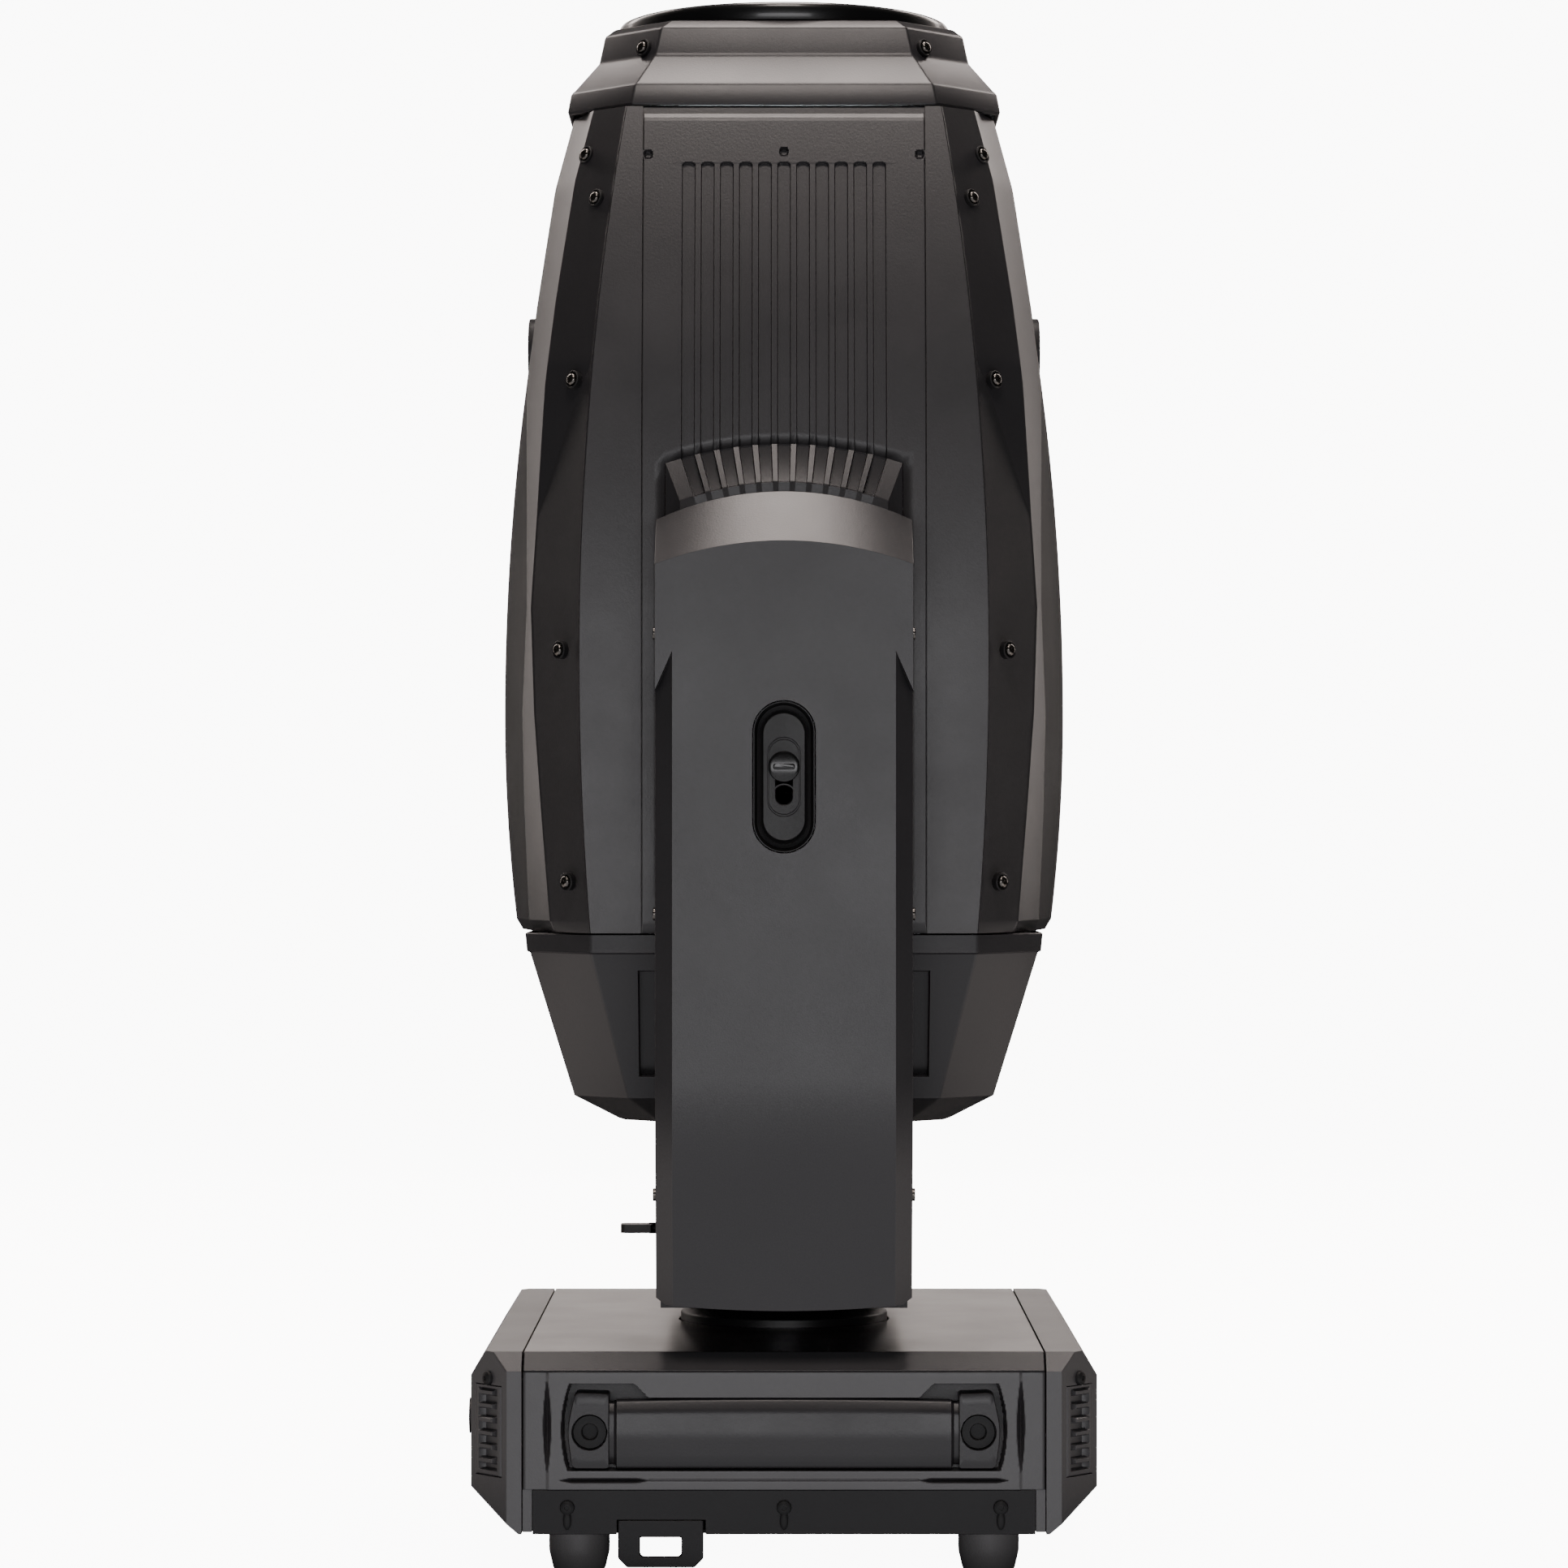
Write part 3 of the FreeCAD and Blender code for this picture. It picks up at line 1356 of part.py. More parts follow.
def bulkhead(z, half_x, half_y, bore):
    """A cross plate of the head's chassis, notched round the hub openings, with a hole for the beam."""
    notch, notch_y = HUB_HALF + 3.0, HUB_FLOOR - 4.0
    quarter = [(half_x, notch_y - 20.0), (half_x - 20.0, half_y), (notch, half_y), (notch, notch_y)]
    if half_y < notch_y:
        quarter = [(half_x, half_y - 24.0), (half_x - 24.0, half_y)]
    near = quarter + [(-x, y) for x, y in reversed(quarter)]
    outline = near + [(-x, -y) for x, y in near]
    return pad("XY", [outline, (0.0, 0.0, bore)], z, z + PLATE_THICK)


def make_chassis():
    """Three bulkheads between the side plates, and the four rails that the lens carriages ride on."""
    plates = [
        bulkhead(LOW_PLATE_Z, 98.0, 144.6, 26.5),
        bulkhead(MIDDLE_PLATE_Z, 98.0, 144.6, 42.0),
        bulkhead(TOP_PLATE_Z, 92.0, 107.5, 79.0),
    ]
    low = MIDDLE_PLATE_Z + PLATE_THICK
    rails = [rod(3.0, TOP_PLATE_Z - low, sx * RAIL_AT, sy * RAIL_AT, low) for sx in BOTH for sy in BOTH]
    node("lens_frame", group(*plates, *rails))


def make_engine():
    """The light engine in the tail: the LED board on its finned heat sink, with a condenser in front."""
    plate = block((-70.0, 70.0), (-90.0, 90.0), (318.0, 330.0))
    fins = [block((x - 1.2, x + 1.2), (-90.0, 90.0), (262.0, 318.0)) for x in range(-66, 67, 11)]
    posts = [rod(5.0, LOW_PLATE_Z - 330.0, sx * 60.0, sy * 80.0, 330.0) for sx in BOTH for sy in BOTH]
    chip = rod(18.0, 1.5, 0.0, 0.0, 333.0)
    board = fuse(block((-34.0, 34.0), (-34.0, 34.0), (330.0, 333.0)), chip)
    node("light_engine", group(fuse(plate, *fins, *posts), board))
    flange_low = LOW_PLATE_Z + PLATE_THICK
    glass = [
        (0.0, 336.0),
        (20.0, 336.0),
        (26.0, flange_low),
        (34.0, flange_low),
        (34.0, flange_low + 4.0),
        (30.0, 362.0),
        (0.0, 372.0),
    ]
    node("condenser", turned(glass))


def effect_wheel(radius, centre_x, z, holes, hole_radius):
    """A thin wheel with a ring of round windows, one of them on the beam axis."""
    body = rod(radius, 1.5, centre_x, 0.0, z)
    tools = [rod(3.05, 4.0, centre_x, 0.0, z - 1)]
    for i in range(holes):
        turn = 2 * math.pi * i / holes
        x = centre_x - centre_x * math.cos(turn)
        y = centre_x * math.sin(turn)
        tools.append(rod(hole_radius, 4.0, x, y, z - 1))
    return cut(body, *tools)


def make_effects():
    """The colour wheel and the pattern wheel, each on its own motor's shaft."""
    node("colour_wheel", effect_wheel(64.0, 44.0, 392.0, 7, 15.0))
    node("pattern_wheel", effect_wheel(60.0, -42.0, 424.0, 7, 13.0))
    colour_motor = fuse(
        block((26.0, 62.0), (-18.0, 18.0), (400.0, 418.0)),
        rod(3.0, 14.0, 44.0, 0.0, 386.0),
        rod(5.0, MIDDLE_PLATE_Z - 418.0, 54.0, 0.0, 418.0),
    )
    pattern_motor = fuse(
        block((-60.0, -24.0), (-18.0, 18.0), (432.0, MIDDLE_PLATE_Z)),
        rod(3.0, 14.0, -42.0, 0.0, 418.0),
    )
    node("wheel_motors", group(colour_motor, pattern_motor))


def carriage(z, bore):
    """A lens carriage: a plate that slides on the four rails, with a ring for its lens."""
    outline = square_section(72.0, 72.0, 64.0, 64.0)
    guides = [(sx * RAIL_AT, sy * RAIL_AT, 3.05) for sx in BOTH for sy in BOTH]
    plate = pad("XY", [outline, (0.0, 0.0, bore), *guides], z, z + 6.0)
    ring = tube(bore + 4, bore, 14.0, 0.0, 0.0, z)
    return fuse(plate, ring)


def lens_disc(radius, z, thick):
    """A biconvex lens."""
    return turned(
        [
            (0.0, z - 3),
            (radius * 0.6, z - 2),
            (radius, z),
            (radius, z + thick),
            (radius * 0.6, z + thick + 2),
            (0.0, z + thick + 3),
        ]
    )


def make_lens_groups():
    """The focus and zoom lens groups."""
    node("focus_carriage", carriage(520.0, 44.0))
    node("focus_lens", lens_disc(43.9, 524.0, 6.0))
    node("zoom_carriage", carriage(630.0, 52.0))
    node("zoom_lens", lens_disc(51.9, 634.0, 6.0))


def check_and_write():
    """Recomputes the document, stops on any failed object or bad shape, and writes each node's STEP file."""
    doc.recompute()
    for piece in doc.Objects:
        if any(word in str(piece.State) for word in ("Invalid", "Error")):
            raise RuntimeError(f"{piece.Name} ({piece.Label}) failed: {piece.State}")
    os.makedirs("parts", exist_ok=True)
    for label, piece in NODES.items():
        shape = piece.Shape
        if shape.isNull() or not shape.isValid() or not shape.Solids:
            raise RuntimeError(f"{label} has no valid solid")
        shape.exportStep(f"parts/{label}.step")
        print(f"{label:20s} solids {len(shape.Solids):3d} volume {shape.Volume / 1000:9.2f} cm3")
    print(len(NODES), "nodes")


make_tray()
make_top_cover()
node("base_side_covers", group(*[side_cover(side) for side in BOTH]))
make_handle("carry_handle_left", -1)
make_handle("carry_handle_right", 1)
make_corner_louvres()
make_end_cover("socket_end_cover", -1)
make_end_cover("display_end_cover", 1)
make_sockets()
make_control_panel()
make_feet()
make_safety_eye()
node("base_screws", group(*handle_bolts(), *tray_screws(), *corner_screws()))
make_base_contents()
make_pan_drive()
make_bridge()
make_arm_covers()
make_arm_frames()
make_tilt_drive()
make_tilt_lock()
make_pan_lock()
make_arm_screws()
make_head_covers()
make_side_plates()
make_hub_bosses()
make_hubs()
make_nose()
make_bezel_and_lens()
make_tail()
make_head_screws()
make_chassis()
make_engine()
make_effects()
make_lens_groups()
check_and_write()
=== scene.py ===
# %% [markdown]
# # A moving head stage light
#
# The real object is a lamp head that tilts in a yoke, and the yoke pans on a square base. Its skin is
# black: moulded plastic over the head and the arms, painted steel and plastic round the base, a polished
# ring at the lens. The mechanical model gives every piece its place and every joint its axis. This file
# gives the pieces their looks.
#
# A black object is drawn by its reflections, so the shapes get small rounded edges that catch light, and
# the studio has soft boxes above the head, tall strips behind both shoulders, a broad panel in front and
# white cards on the floor.

# %% Load the fixed frame
import json
import math

import bmesh
import bpy
import numpy as np
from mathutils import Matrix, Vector


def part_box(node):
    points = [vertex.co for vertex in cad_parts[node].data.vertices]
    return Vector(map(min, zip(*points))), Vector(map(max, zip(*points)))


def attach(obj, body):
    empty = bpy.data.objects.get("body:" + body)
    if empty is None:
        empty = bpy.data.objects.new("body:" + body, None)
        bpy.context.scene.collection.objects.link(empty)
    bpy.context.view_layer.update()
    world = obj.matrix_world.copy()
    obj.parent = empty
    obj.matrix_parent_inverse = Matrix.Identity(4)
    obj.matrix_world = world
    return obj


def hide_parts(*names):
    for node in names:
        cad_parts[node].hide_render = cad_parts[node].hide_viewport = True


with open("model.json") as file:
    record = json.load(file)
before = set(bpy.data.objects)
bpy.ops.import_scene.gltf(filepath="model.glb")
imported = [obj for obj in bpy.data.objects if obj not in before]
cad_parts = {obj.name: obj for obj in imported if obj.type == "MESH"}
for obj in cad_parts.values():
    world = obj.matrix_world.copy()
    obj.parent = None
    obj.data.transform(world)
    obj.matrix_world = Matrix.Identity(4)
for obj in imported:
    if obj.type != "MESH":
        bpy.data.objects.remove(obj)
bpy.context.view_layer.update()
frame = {"nodes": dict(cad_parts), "record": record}

# %% [markdown]
# ## Who carries what
#
# Each piece rides on one body of the record, so it follows the joints. The record also says which material
# slot a piece belongs to. Two small dictionaries keep both, so that no later cell has to name them again.

# %% Bodies and slots by node
BODY = {node: body for body, nodes in frame["record"]["behaviour"]["bodies"].items() for node in nodes}
SLOT = {part["node"]: part["material_slot"] for part in frame["record"]["subparts"]}
print("slots used:", sorted(set(SLOT.values())))

# %% [markdown]
# ## Finishes
#
# Makers name a finish by its material and by how its surface was made: spark-eroded ABS, textured powder
# coat, black oxide on steel. Each one below is a Principled shader whose colour, roughness and height come
# from a few noise patterns. One helper turns a screen colour into linear light and one helper adds a node.
# Painted image files could do the same, but a pattern in code keeps its real size in millimetres on every
# piece.

# %% Colour and node helpers
def linear(hex_colour):
    """sRGB to linear: a straight part near black, then the 2.4 power curve. Returns four numbers, opaque."""
    coded = np.array([int(hex_colour[i:i + 2], 16) / 255 for i in (1, 3, 5)])
    light = np.where(coded <= 0.04045, coded / 12.92, ((coded + 0.055) / 1.055) ** 2.4)
    return (*light.tolist(), 1.0)


def add_node(tree, kind, inputs=None, **settings):
    """Adds one shader node; inputs holds numbers or the sockets that feed it, settings its properties."""
    added = tree.nodes.new("ShaderNode" + kind)
    for name, setting in settings.items():
        setattr(added, name, setting)
    for name, given in (inputs or {}).items():
        if isinstance(given, bpy.types.NodeSocket):
            tree.links.new(given, added.inputs[name])
        else:
            added.inputs[name].default_value = given
    return added


FINISH = {}


def new_finish(name):
    """An empty material kept in FINISH under its maker's name. Returns its node tree, to be filled."""
    material = bpy.data.materials.new(name)
    material.use_nodes = True
    material.node_tree.nodes.clear()
    FINISH[name] = material
    return material.node_tree


# %% [markdown]
# ### Moulded, painted and rubber skins
#
# A tool for moulded ABS is spark eroded, which leaves fine pits all over, so the plastic is never a mirror.
# Powder coat melts into a soft orange peel, and rubber is dull with dust in it. All three are one recipe
# with other numbers: a fine grain in the height, a wide cloud that shifts roughness and colour, and edges
# that hands have rubbed paler. The grain is about 0.2 mm on the real skin and is drawn at the size given
# here, because a finer one would not show.

# %% A skin with grain, clouds and rubbed edges
def skin_finish(name, colour, worn, roughness, grain_mm, grain_deep_mm, cloud_mm=60.0, spread=0.025, ior=1.5,
                wear_mm=0.5, coat=0.0):
    """Height: noise one grain wide. Roughness: its middle value plus or minus spread by a wide noise.
    Colour: the base, 5 percent lighter or darker with the wide noise, and the worn colour where a rounded
    normal departs from the true one, which is at an edge."""
    tree = new_finish(name)
    place = add_node(tree, "TexCoord").outputs["Object"]
    grain = add_node(tree, "TexNoise", {"Vector": place, "Scale": 1000 / grain_mm, "Detail": 2.0,
                                        "Roughness": 0.6})
    cloud = add_node(tree, "TexNoise", {"Vector": place, "Scale": 1000 / cloud_mm, "Detail": 4.0,
                                        "Roughness": 0.6})
    shade = add_node(tree, "MapRange", {"Value": cloud.outputs["Fac"], "From Min": 0.3, "From Max": 0.7,
                                        "To Min": 0.95, "To Max": 1.05})
    base = add_node(tree, "VectorMath", {0: linear(colour)[:3], "Scale": shade.outputs["Result"]},
                    operation="SCALE")
    normal = add_node(tree, "NewGeometry").outputs["Normal"]
    rounded = add_node(tree, "Bevel", {"Radius": wear_mm / 1000}, samples=3)
    along = add_node(tree, "VectorMath", {0: normal, 1: rounded.outputs["Normal"]}, operation="DOT_PRODUCT")
    edge = add_node(tree, "MapRange", {"Value": along.outputs["Value"], "From Min": 0.995, "From Max": 0.86})
    speck = add_node(tree, "MapRange", {"Value": grain.outputs["Fac"], "From Min": 0.35, "From Max": 0.65})
    rub = add_node(tree, "Math", {0: edge.outputs["Result"], 1: speck.outputs["Result"]}, operation="MULTIPLY")
    paint = add_node(tree, "Mix", {0: rub.outputs["Value"], 6: base.outputs["Vector"], 7: linear(worn)},
                     data_type="RGBA")
    rough = add_node(tree, "MapRange", {"Value": cloud.outputs["Fac"], "From Min": 0.3, "From Max": 0.7,
                                        "To Min": roughness - spread, "To Max": roughness + spread})
    bump = add_node(tree, "Bump", {"Height": grain.outputs["Fac"], "Distance": grain_deep_mm / 1000,
                                   "Strength": 1.0})
    shader = add_node(tree, "BsdfPrincipled", {"Base Color": paint.outputs[2],
                                               "Roughness": rough.outputs["Result"], "IOR": ior,
                                               "Normal": bump.outputs["Normal"], "Coat Weight": coat,
                                               "Coat Roughness": 0.12})
    add_node(tree, "OutputMaterial", {"Surface": shader.outputs["BSDF"]})


# %% The plastics, paints and rubbers of this light
# Moulded ABS, spark-eroded tool: dark neutral grey, satin, pits about 0.2 mm drawn at 0.9 mm.
skin_finish("spark-eroded charcoal ABS", "#323133", "#4a4847", 0.34, 0.9, 0.04)
# Steel sheet with fine-textured powder coat: a soft orange peel about 1 mm wide.
skin_finish("fine-textured powder coat", "#343335", "#565453", 0.40, 1.2, 0.07, spread=0.04, ior=1.62)
# Cast aluminium, satin powder coat: smoother and a little glossier than the steel.
skin_finish("satin powder coat", "#2f2e30", "#55524f", 0.36, 1.6, 0.05, spread=0.05)
# The base's covers are the same plastic with a drier, paler grain; its tray is a smoother, blacker paint.
skin_finish("dry-grained base ABS", "#3d3c3e", "#565453", 0.42, 1.0, 0.05, ior=1.72)
skin_finish("smooth black tray paint", "#1a191b", "#454342", 0.46, 1.4, 0.04, ior=1.38)
# Screws are blackened and oiled, which leaves them dull; the knob is lacquered and shows only glints.
# The same dull black also colours the rings of painted shade under the head screws.
skin_finish("dull black screw and painted shade finish", "#08080a", "#3c3b3a", 0.60, 2.0, 0.01, spread=0.04)
skin_finish("black knob lacquer", "#0b0b0c", "#3c3b3a", 0.20, 2.0, 0.01, spread=0.03, coat=0.3)
# Blackened casting of the bridge and the bearing plates.
skin_finish("black cast coat", "#1d1d1e", "#3a3938", 0.45, 1.1, 0.10, spread=0.07)
# Glass-filled nylon: nearly black, satin.
skin_finish("black glass-filled nylon", "#161617", "#2c2b2b", 0.42, 0.8, 0.05, spread=0.07)
# Polished ABS ring: black under a clear gloss, faint swirl of handling.
skin_finish("polished black ring", "#101011", "#1c1c1c", 0.30, 6.0, 0.01, spread=0.04, coat=0.4)
# Rubber of the keys and feet: dull, dusty, pores about 0.6 mm.
skin_finish("moulded key rubber", "#28282a", "#3d3d3d", 0.62, 0.7, 0.06, spread=0.08)
skin_finish("moulded foot rubber", "#6d6b6c", "#5a5a58", 0.52, 0.9, 0.10, spread=0.08)
skin_finish("ribbed belt rubber", "#131313", "#2a2a2a", 0.75, 0.5, 0.08, spread=0.08)
# Motor cans: black enamel over steel.
skin_finish("black motor enamel", "#1b1b1c", "#6a6864", 0.35, 1.5, 0.03, spread=0.08)
print("skins:", len(FINISH))

# %% [markdown]
# ### Metals, glass and circuit board
#
# Bare aluminium and blackened screws are metals: their colour is the reflection's colour. Fine lines left
# by the tool stretch the noise along one axis. Glass is clear with a thin coating that tints it. A circuit
# board is a green lacquer over copper tracks. Each could share the recipe above, but a metal has no diffuse
# colour and glass lets light through, so each kind has a short shader of its own.

# %% Metals with tool marks
def metal_finish(name, colour, roughness, line_mm, line_deep_mm, stretch=(1.0, 1.0, 12.0), spread=0.06):
    """Noise stretched along Z by a large factor makes lines; they shift roughness and height."""
    tree = new_finish(name)
    place = add_node(tree, "TexCoord").outputs["Object"]
    drawn = add_node(tree, "Mapping", {"Vector": place, "Scale": stretch})
    lines = add_node(tree, "TexNoise", {"Vector": drawn.outputs["Vector"], "Scale": 1000 / line_mm,
                                        "Detail": 3.0})
    cloud = add_node(tree, "TexNoise", {"Vector": place, "Scale": 40.0, "Detail": 3.0})
    rough = add_node(tree, "MapRange", {"Value": lines.outputs["Fac"], "From Min": 0.3, "From Max": 0.7,
                                        "To Min": roughness - spread, "To Max": roughness + spread})
    shade = add_node(tree, "MapRange", {"Value": cloud.outputs["Fac"], "From Min": 0.3, "From Max": 0.7,
                                        "To Min": 0.85, "To Max": 1.1})
    tone = add_node(tree, "VectorMath", {0: linear(colour)[:3], "Scale": shade.outputs["Result"]},
                    operation="SCALE")
    bump = add_node(tree, "Bump", {"Height": lines.outputs["Fac"], "Distance": line_deep_mm / 1000,
                                   "Strength": 1.0})
    shader = add_node(tree, "BsdfPrincipled", {"Base Color": tone.outputs["Vector"], "Metallic": 1.0,
                                               "Roughness": rough.outputs["Result"],
                                               "Normal": bump.outputs["Normal"]})
    add_node(tree, "OutputMaterial", {"Surface": shader.outputs["BSDF"]})


# Black oxide over turned steel: the heads shine where the drive bit has rubbed them.
metal_finish("black oxide steel", "#6f6b67", 0.24, 0.8, 0.02, stretch=(1.0, 1.0, 1.0))
# Extruded and turned aluminium, not polished.
metal_finish("satin bare aluminium", "#bfc0c2", 0.34, 0.8, 0.02)

# %% Glass of the lenses and of the display
def glass_finish(name, tint, roughness, ior, through):
    """Glass or acrylic with a thin coat; through is the share of light that passes. A wide noise stands for
    dust and lifts the roughness by up to 0.1."""
    tree = new_finish(name)
    place = add_node(tree, "TexCoord").outputs["Object"]
    dust = add_node(tree, "TexNoise", {"Vector": place, "Scale": 90.0, "Detail": 5.0})
    rough = add_node(tree, "MapRange", {"Value": dust.outputs["Fac"], "From Min": 0.45, "From Max": 0.75,
                                        "To Min": roughness, "To Max": roughness + 0.10})
    shader = add_node(tree, "BsdfPrincipled", {"Base Color": linear(tint),
                                               "Roughness": rough.outputs["Result"], "IOR": ior,
                                               "Transmission Weight": through, "Coat Weight": 0.6,
                                               "Coat Roughness": 0.03})
    add_node(tree, "OutputMaterial", {"Surface": shader.outputs["BSDF"]})


# Borosilicate with an anti-reflection coating, IOR 1.47; hard-coated acrylic over a dark display, IOR 1.49.
glass_finish("coated borosilicate lens", "#dfe9ee", 0.03, 1.47, 1.0)
glass_finish("hard-coated display window", "#07080a", 0.06, 1.49, 0.0)

# %% Circuit board lacquer
def board_finish(name):
    """Green lacquer, IOR 1.5. Copper tracks: a brick pattern 2.4 mm by 0.9 mm whose mortar is the gap."""
    tree = new_finish(name)
    place = add_node(tree, "TexCoord").outputs["Object"]
    tracks = add_node(tree, "TexBrick", {"Vector": place, "Color1": linear("#0f4a2a"),
                                         "Color2": linear("#135a33"), "Mortar": linear("#0a3820"),
                                         "Scale": 100.0, "Mortar Size": 0.03, "Brick Width": 0.24,
                                         "Row Height": 0.09})
    bump = add_node(tree, "Bump", {"Height": tracks.outputs["Fac"], "Distance": 0.00005, "Strength": 0.5})
    shader = add_node(tree, "BsdfPrincipled", {"Base Color": tracks.outputs["Color"], "Roughness": 0.35,
                                               "IOR": 1.5, "Normal": bump.outputs["Normal"]})
    add_node(tree, "OutputMaterial", {"Surface": shader.outputs["BSDF"]})


board_finish("green board lacquer")
SLOT_FINISH = {
    "charcoal_abs": "spark-eroded charcoal ABS", "steel_paint": "fine-textured powder coat",
    "cast_handle": "satin powder coat", "cast_aluminium": "black cast coat",
    "black_nylon": "black glass-filled nylon", "gloss_black": "polished black ring",
    "display_glass": "hard-coated display window", "key_rubber": "moulded key rubber",
    "foot_rubber": "moulded foot rubber", "belt_rubber": "ribbed belt rubber",
    "screw_steel": "black oxide steel", "bare_aluminium": "satin bare aluminium",
    "motor_black": "black motor enamel",
    "circuit_board": "green board lacquer", "lens_glass": "coated borosilicate lens",
}
# A few pieces of a slot are finished apart from the rest of it.
NODE_FINISH = {
    "base_side_covers": "dry-grained base ABS", "socket_end_cover": "dry-grained base ABS",
    "display_end_cover": "dry-grained base ABS", "corner_louvres": "dry-grained base ABS",
    "base_tray": "smooth black tray paint", "safety_eye": "smooth black tray paint",
    "base_screws": "dull black screw and painted shade finish", "tilt_lock_knob": "black knob lacquer",
}


def finish_of(node):
    """The material of a node: its own where it has one, otherwise its slot's."""
    return FINISH[NODE_FINISH.get(node) or SLOT_FINISH[SLOT[node]]]


print("finishes:", len(FINISH), "for", len(SLOT_FINISH), "slots")

# %% [markdown]
# ## Making surfaces from numbers
#
# Every new skin is a grid of points worked out as whole arrays: rows run one way over the surface, columns
# the other. Corners of a section are rounded with a conic arc, which is the true fillet a toolmaker would
# cut. All sizes are in millimetres, as on a drawing, and become metres only when the mesh is made. The
# skins could also be modelled by hand with loops and extrusions. A formula is used because it stays exact,
# and one number changes it everywhere.

# %% Faces of a grid, and a piece from points and faces
MM = 0.001


def grid_faces(rows, columns, ring=False, keep=None):
    """Four-cornered faces between neighbours of a rows by columns grid. ring joins the last column to the
    first, and keep is a mask of the faces that stay."""
    index = np.arange(rows * columns).reshape(rows, columns)
    if ring:
        index = np.concatenate([index, index[:, :1]], axis=1)
    quads = np.stack([index[:-1, :-1], index[:-1, 1:], index[1:, 1:], index[1:, :-1]], axis=-1)
    return quads[keep] if keep is not None else quads.reshape(-1, 4)


def joined(*meshes):
    """Several (points, faces) sets as one: each set's faces count on from the points before it."""
    points, faces, start = [], [], 0
    for some_points, some_faces in meshes:
        points.append(np.asarray(some_points).reshape(-1, 3))
        faces += [[int(i) + start for i in face] for face in some_faces]
        start += len(points[-1])
    return np.concatenate(points), faces


def turned_half(points):
    """The same points half a turn about the pan axis: x and y change sign."""
    return points * (-1.0, -1.0, 1.0)


def make_piece(name, points, faces, stands_for, wall=0.0, edge=0.0, outward=True, smooth_angle=32.0,
               finish=None):
    """A mesh piece that replaces drawn nodes, in the finish of the first of them unless one is named. wall
    grows inwards and edge rounds sharp corners, both in millimetres. outward turns the faces outwards; an open
    sheet whose faces already point out goes without."""
    mesh = bpy.data.meshes.new(name)
    mesh.from_pydata((np.asarray(points).reshape(-1, 3) * MM).tolist(), [], [list(map(int, f)) for f in faces])
    whole = bmesh.new()
    whole.from_mesh(mesh)
    bmesh.ops.remove_doubles(whole, verts=whole.verts, dist=1e-6)
    bmesh.ops.dissolve_degenerate(whole, edges=whole.edges, dist=1e-7)
    if outward:
        bmesh.ops.recalc_face_normals(whole, faces=whole.faces)
    whole.to_mesh(mesh)
    whole.free()
    mesh.shade_smooth()
    mesh.set_sharp_from_angle(angle=math.radians(smooth_angle))
    piece = bpy.data.objects.new(name, mesh)
    bpy.context.scene.collection.objects.link(piece)
    if wall:
        shell = piece.modifiers.new("wall", "SOLIDIFY")
        shell.thickness, shell.offset, shell.use_even_offset = wall * MM, -1.0, True
    if edge:
        add_edge(piece, edge)
    node = stands_for[0]
    mesh.materials.append(FINISH[finish] if finish else finish_of(node))
    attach(piece, BODY[node])
    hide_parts(*stands_for)
    print(f"{name:22s} {len(mesh.polygons):6d} faces for {', '.join(stands_for)}")


def add_edge(piece, width_mm, steps=2, angle=38.0):
    """A rounded edge wherever two faces meet at more than angle degrees."""
    bevel = piece.modifiers.new("edge", "BEVEL")
    bevel.width, bevel.segments, bevel.limit_method = width_mm * MM, steps, "ANGLE"
    bevel.angle_limit, bevel.harden_normals = math.radians(angle), True


# %% Rounded corners of a section
def filleted(corners, radius, steps=4, closed=True):
    """Replaces each corner of an outline (..., n, d) by an arc. The arc is the conic through the two tangent
    points with the corner as its pull, whose weight, the cosine of half the turn, makes it a true circle.
    The tangent length, radius times the tangent of half the turn, never passes 0.45 of the shorter side."""
    corners = np.asarray(corners, float)
    before, after = np.roll(corners, 1, axis=-2) - corners, np.roll(corners, -1, axis=-2) - corners
    long_before = np.linalg.norm(before, axis=-1, keepdims=True) + 1e-9
    long_after = np.linalg.norm(after, axis=-1, keepdims=True) + 1e-9
    before, after = before / long_before, after / long_after
    opening = np.arccos(np.clip((before * after).sum(-1, keepdims=True), -1, 1))
    half_turn = (math.pi - opening) / 2
    size = np.broadcast_to(np.asarray(radius, float), corners.shape[:-1])[..., None]
    reach = np.minimum(size * np.tan(half_turn), 0.45 * np.minimum(long_before, long_after))
    first, last = corners + before * reach, corners + after * reach
    s = np.linspace(0, 1, steps + 1)[:, None]
    pull = np.cos(half_turn)[..., None, :]
    low, mid, high = (1 - s) ** 2, 2 * s * (1 - s) * pull, s ** 2
    arc = low * first[..., None, :] + mid * corners[..., None, :] + high * last[..., None, :]
    arc = arc / (low + mid + high)
    line = arc.reshape(*corners.shape[:-2], -1, corners.shape[-1])
    if closed:
        return line
    kept = steps + 1
    return np.concatenate([corners[..., :1, :], line[..., kept:-kept, :], corners[..., -1:, :]], axis=-2)


def lathe(profile, around=96):
    """A closed body of revolution about Z: each (radius, height) of the profile turned through a full circle.
    A profile that starts and ends on the axis closes in a point there."""
    profile = np.asarray(profile, float)
    turn = np.linspace(0, 2 * math.pi, around, endpoint=False)
    x, y = profile[:, :1] * np.cos(turn), profile[:, :1] * np.sin(turn)
    z = np.repeat(profile[:, 1:], around, axis=1)
    return np.stack([x, y, z], axis=-1), grid_faces(len(profile), around, ring=True)


def stacked(sections):
    """A closed body through sections (rows, n, 3): a ring grid with one flat face at each end."""
    rows, count = sections.shape[:2]
    faces = grid_faces(rows, count, ring=True).tolist()
    faces.append(list(range(count)))
    faces.append(list(range((rows - 1) * count, rows * count)))
    return sections, faces


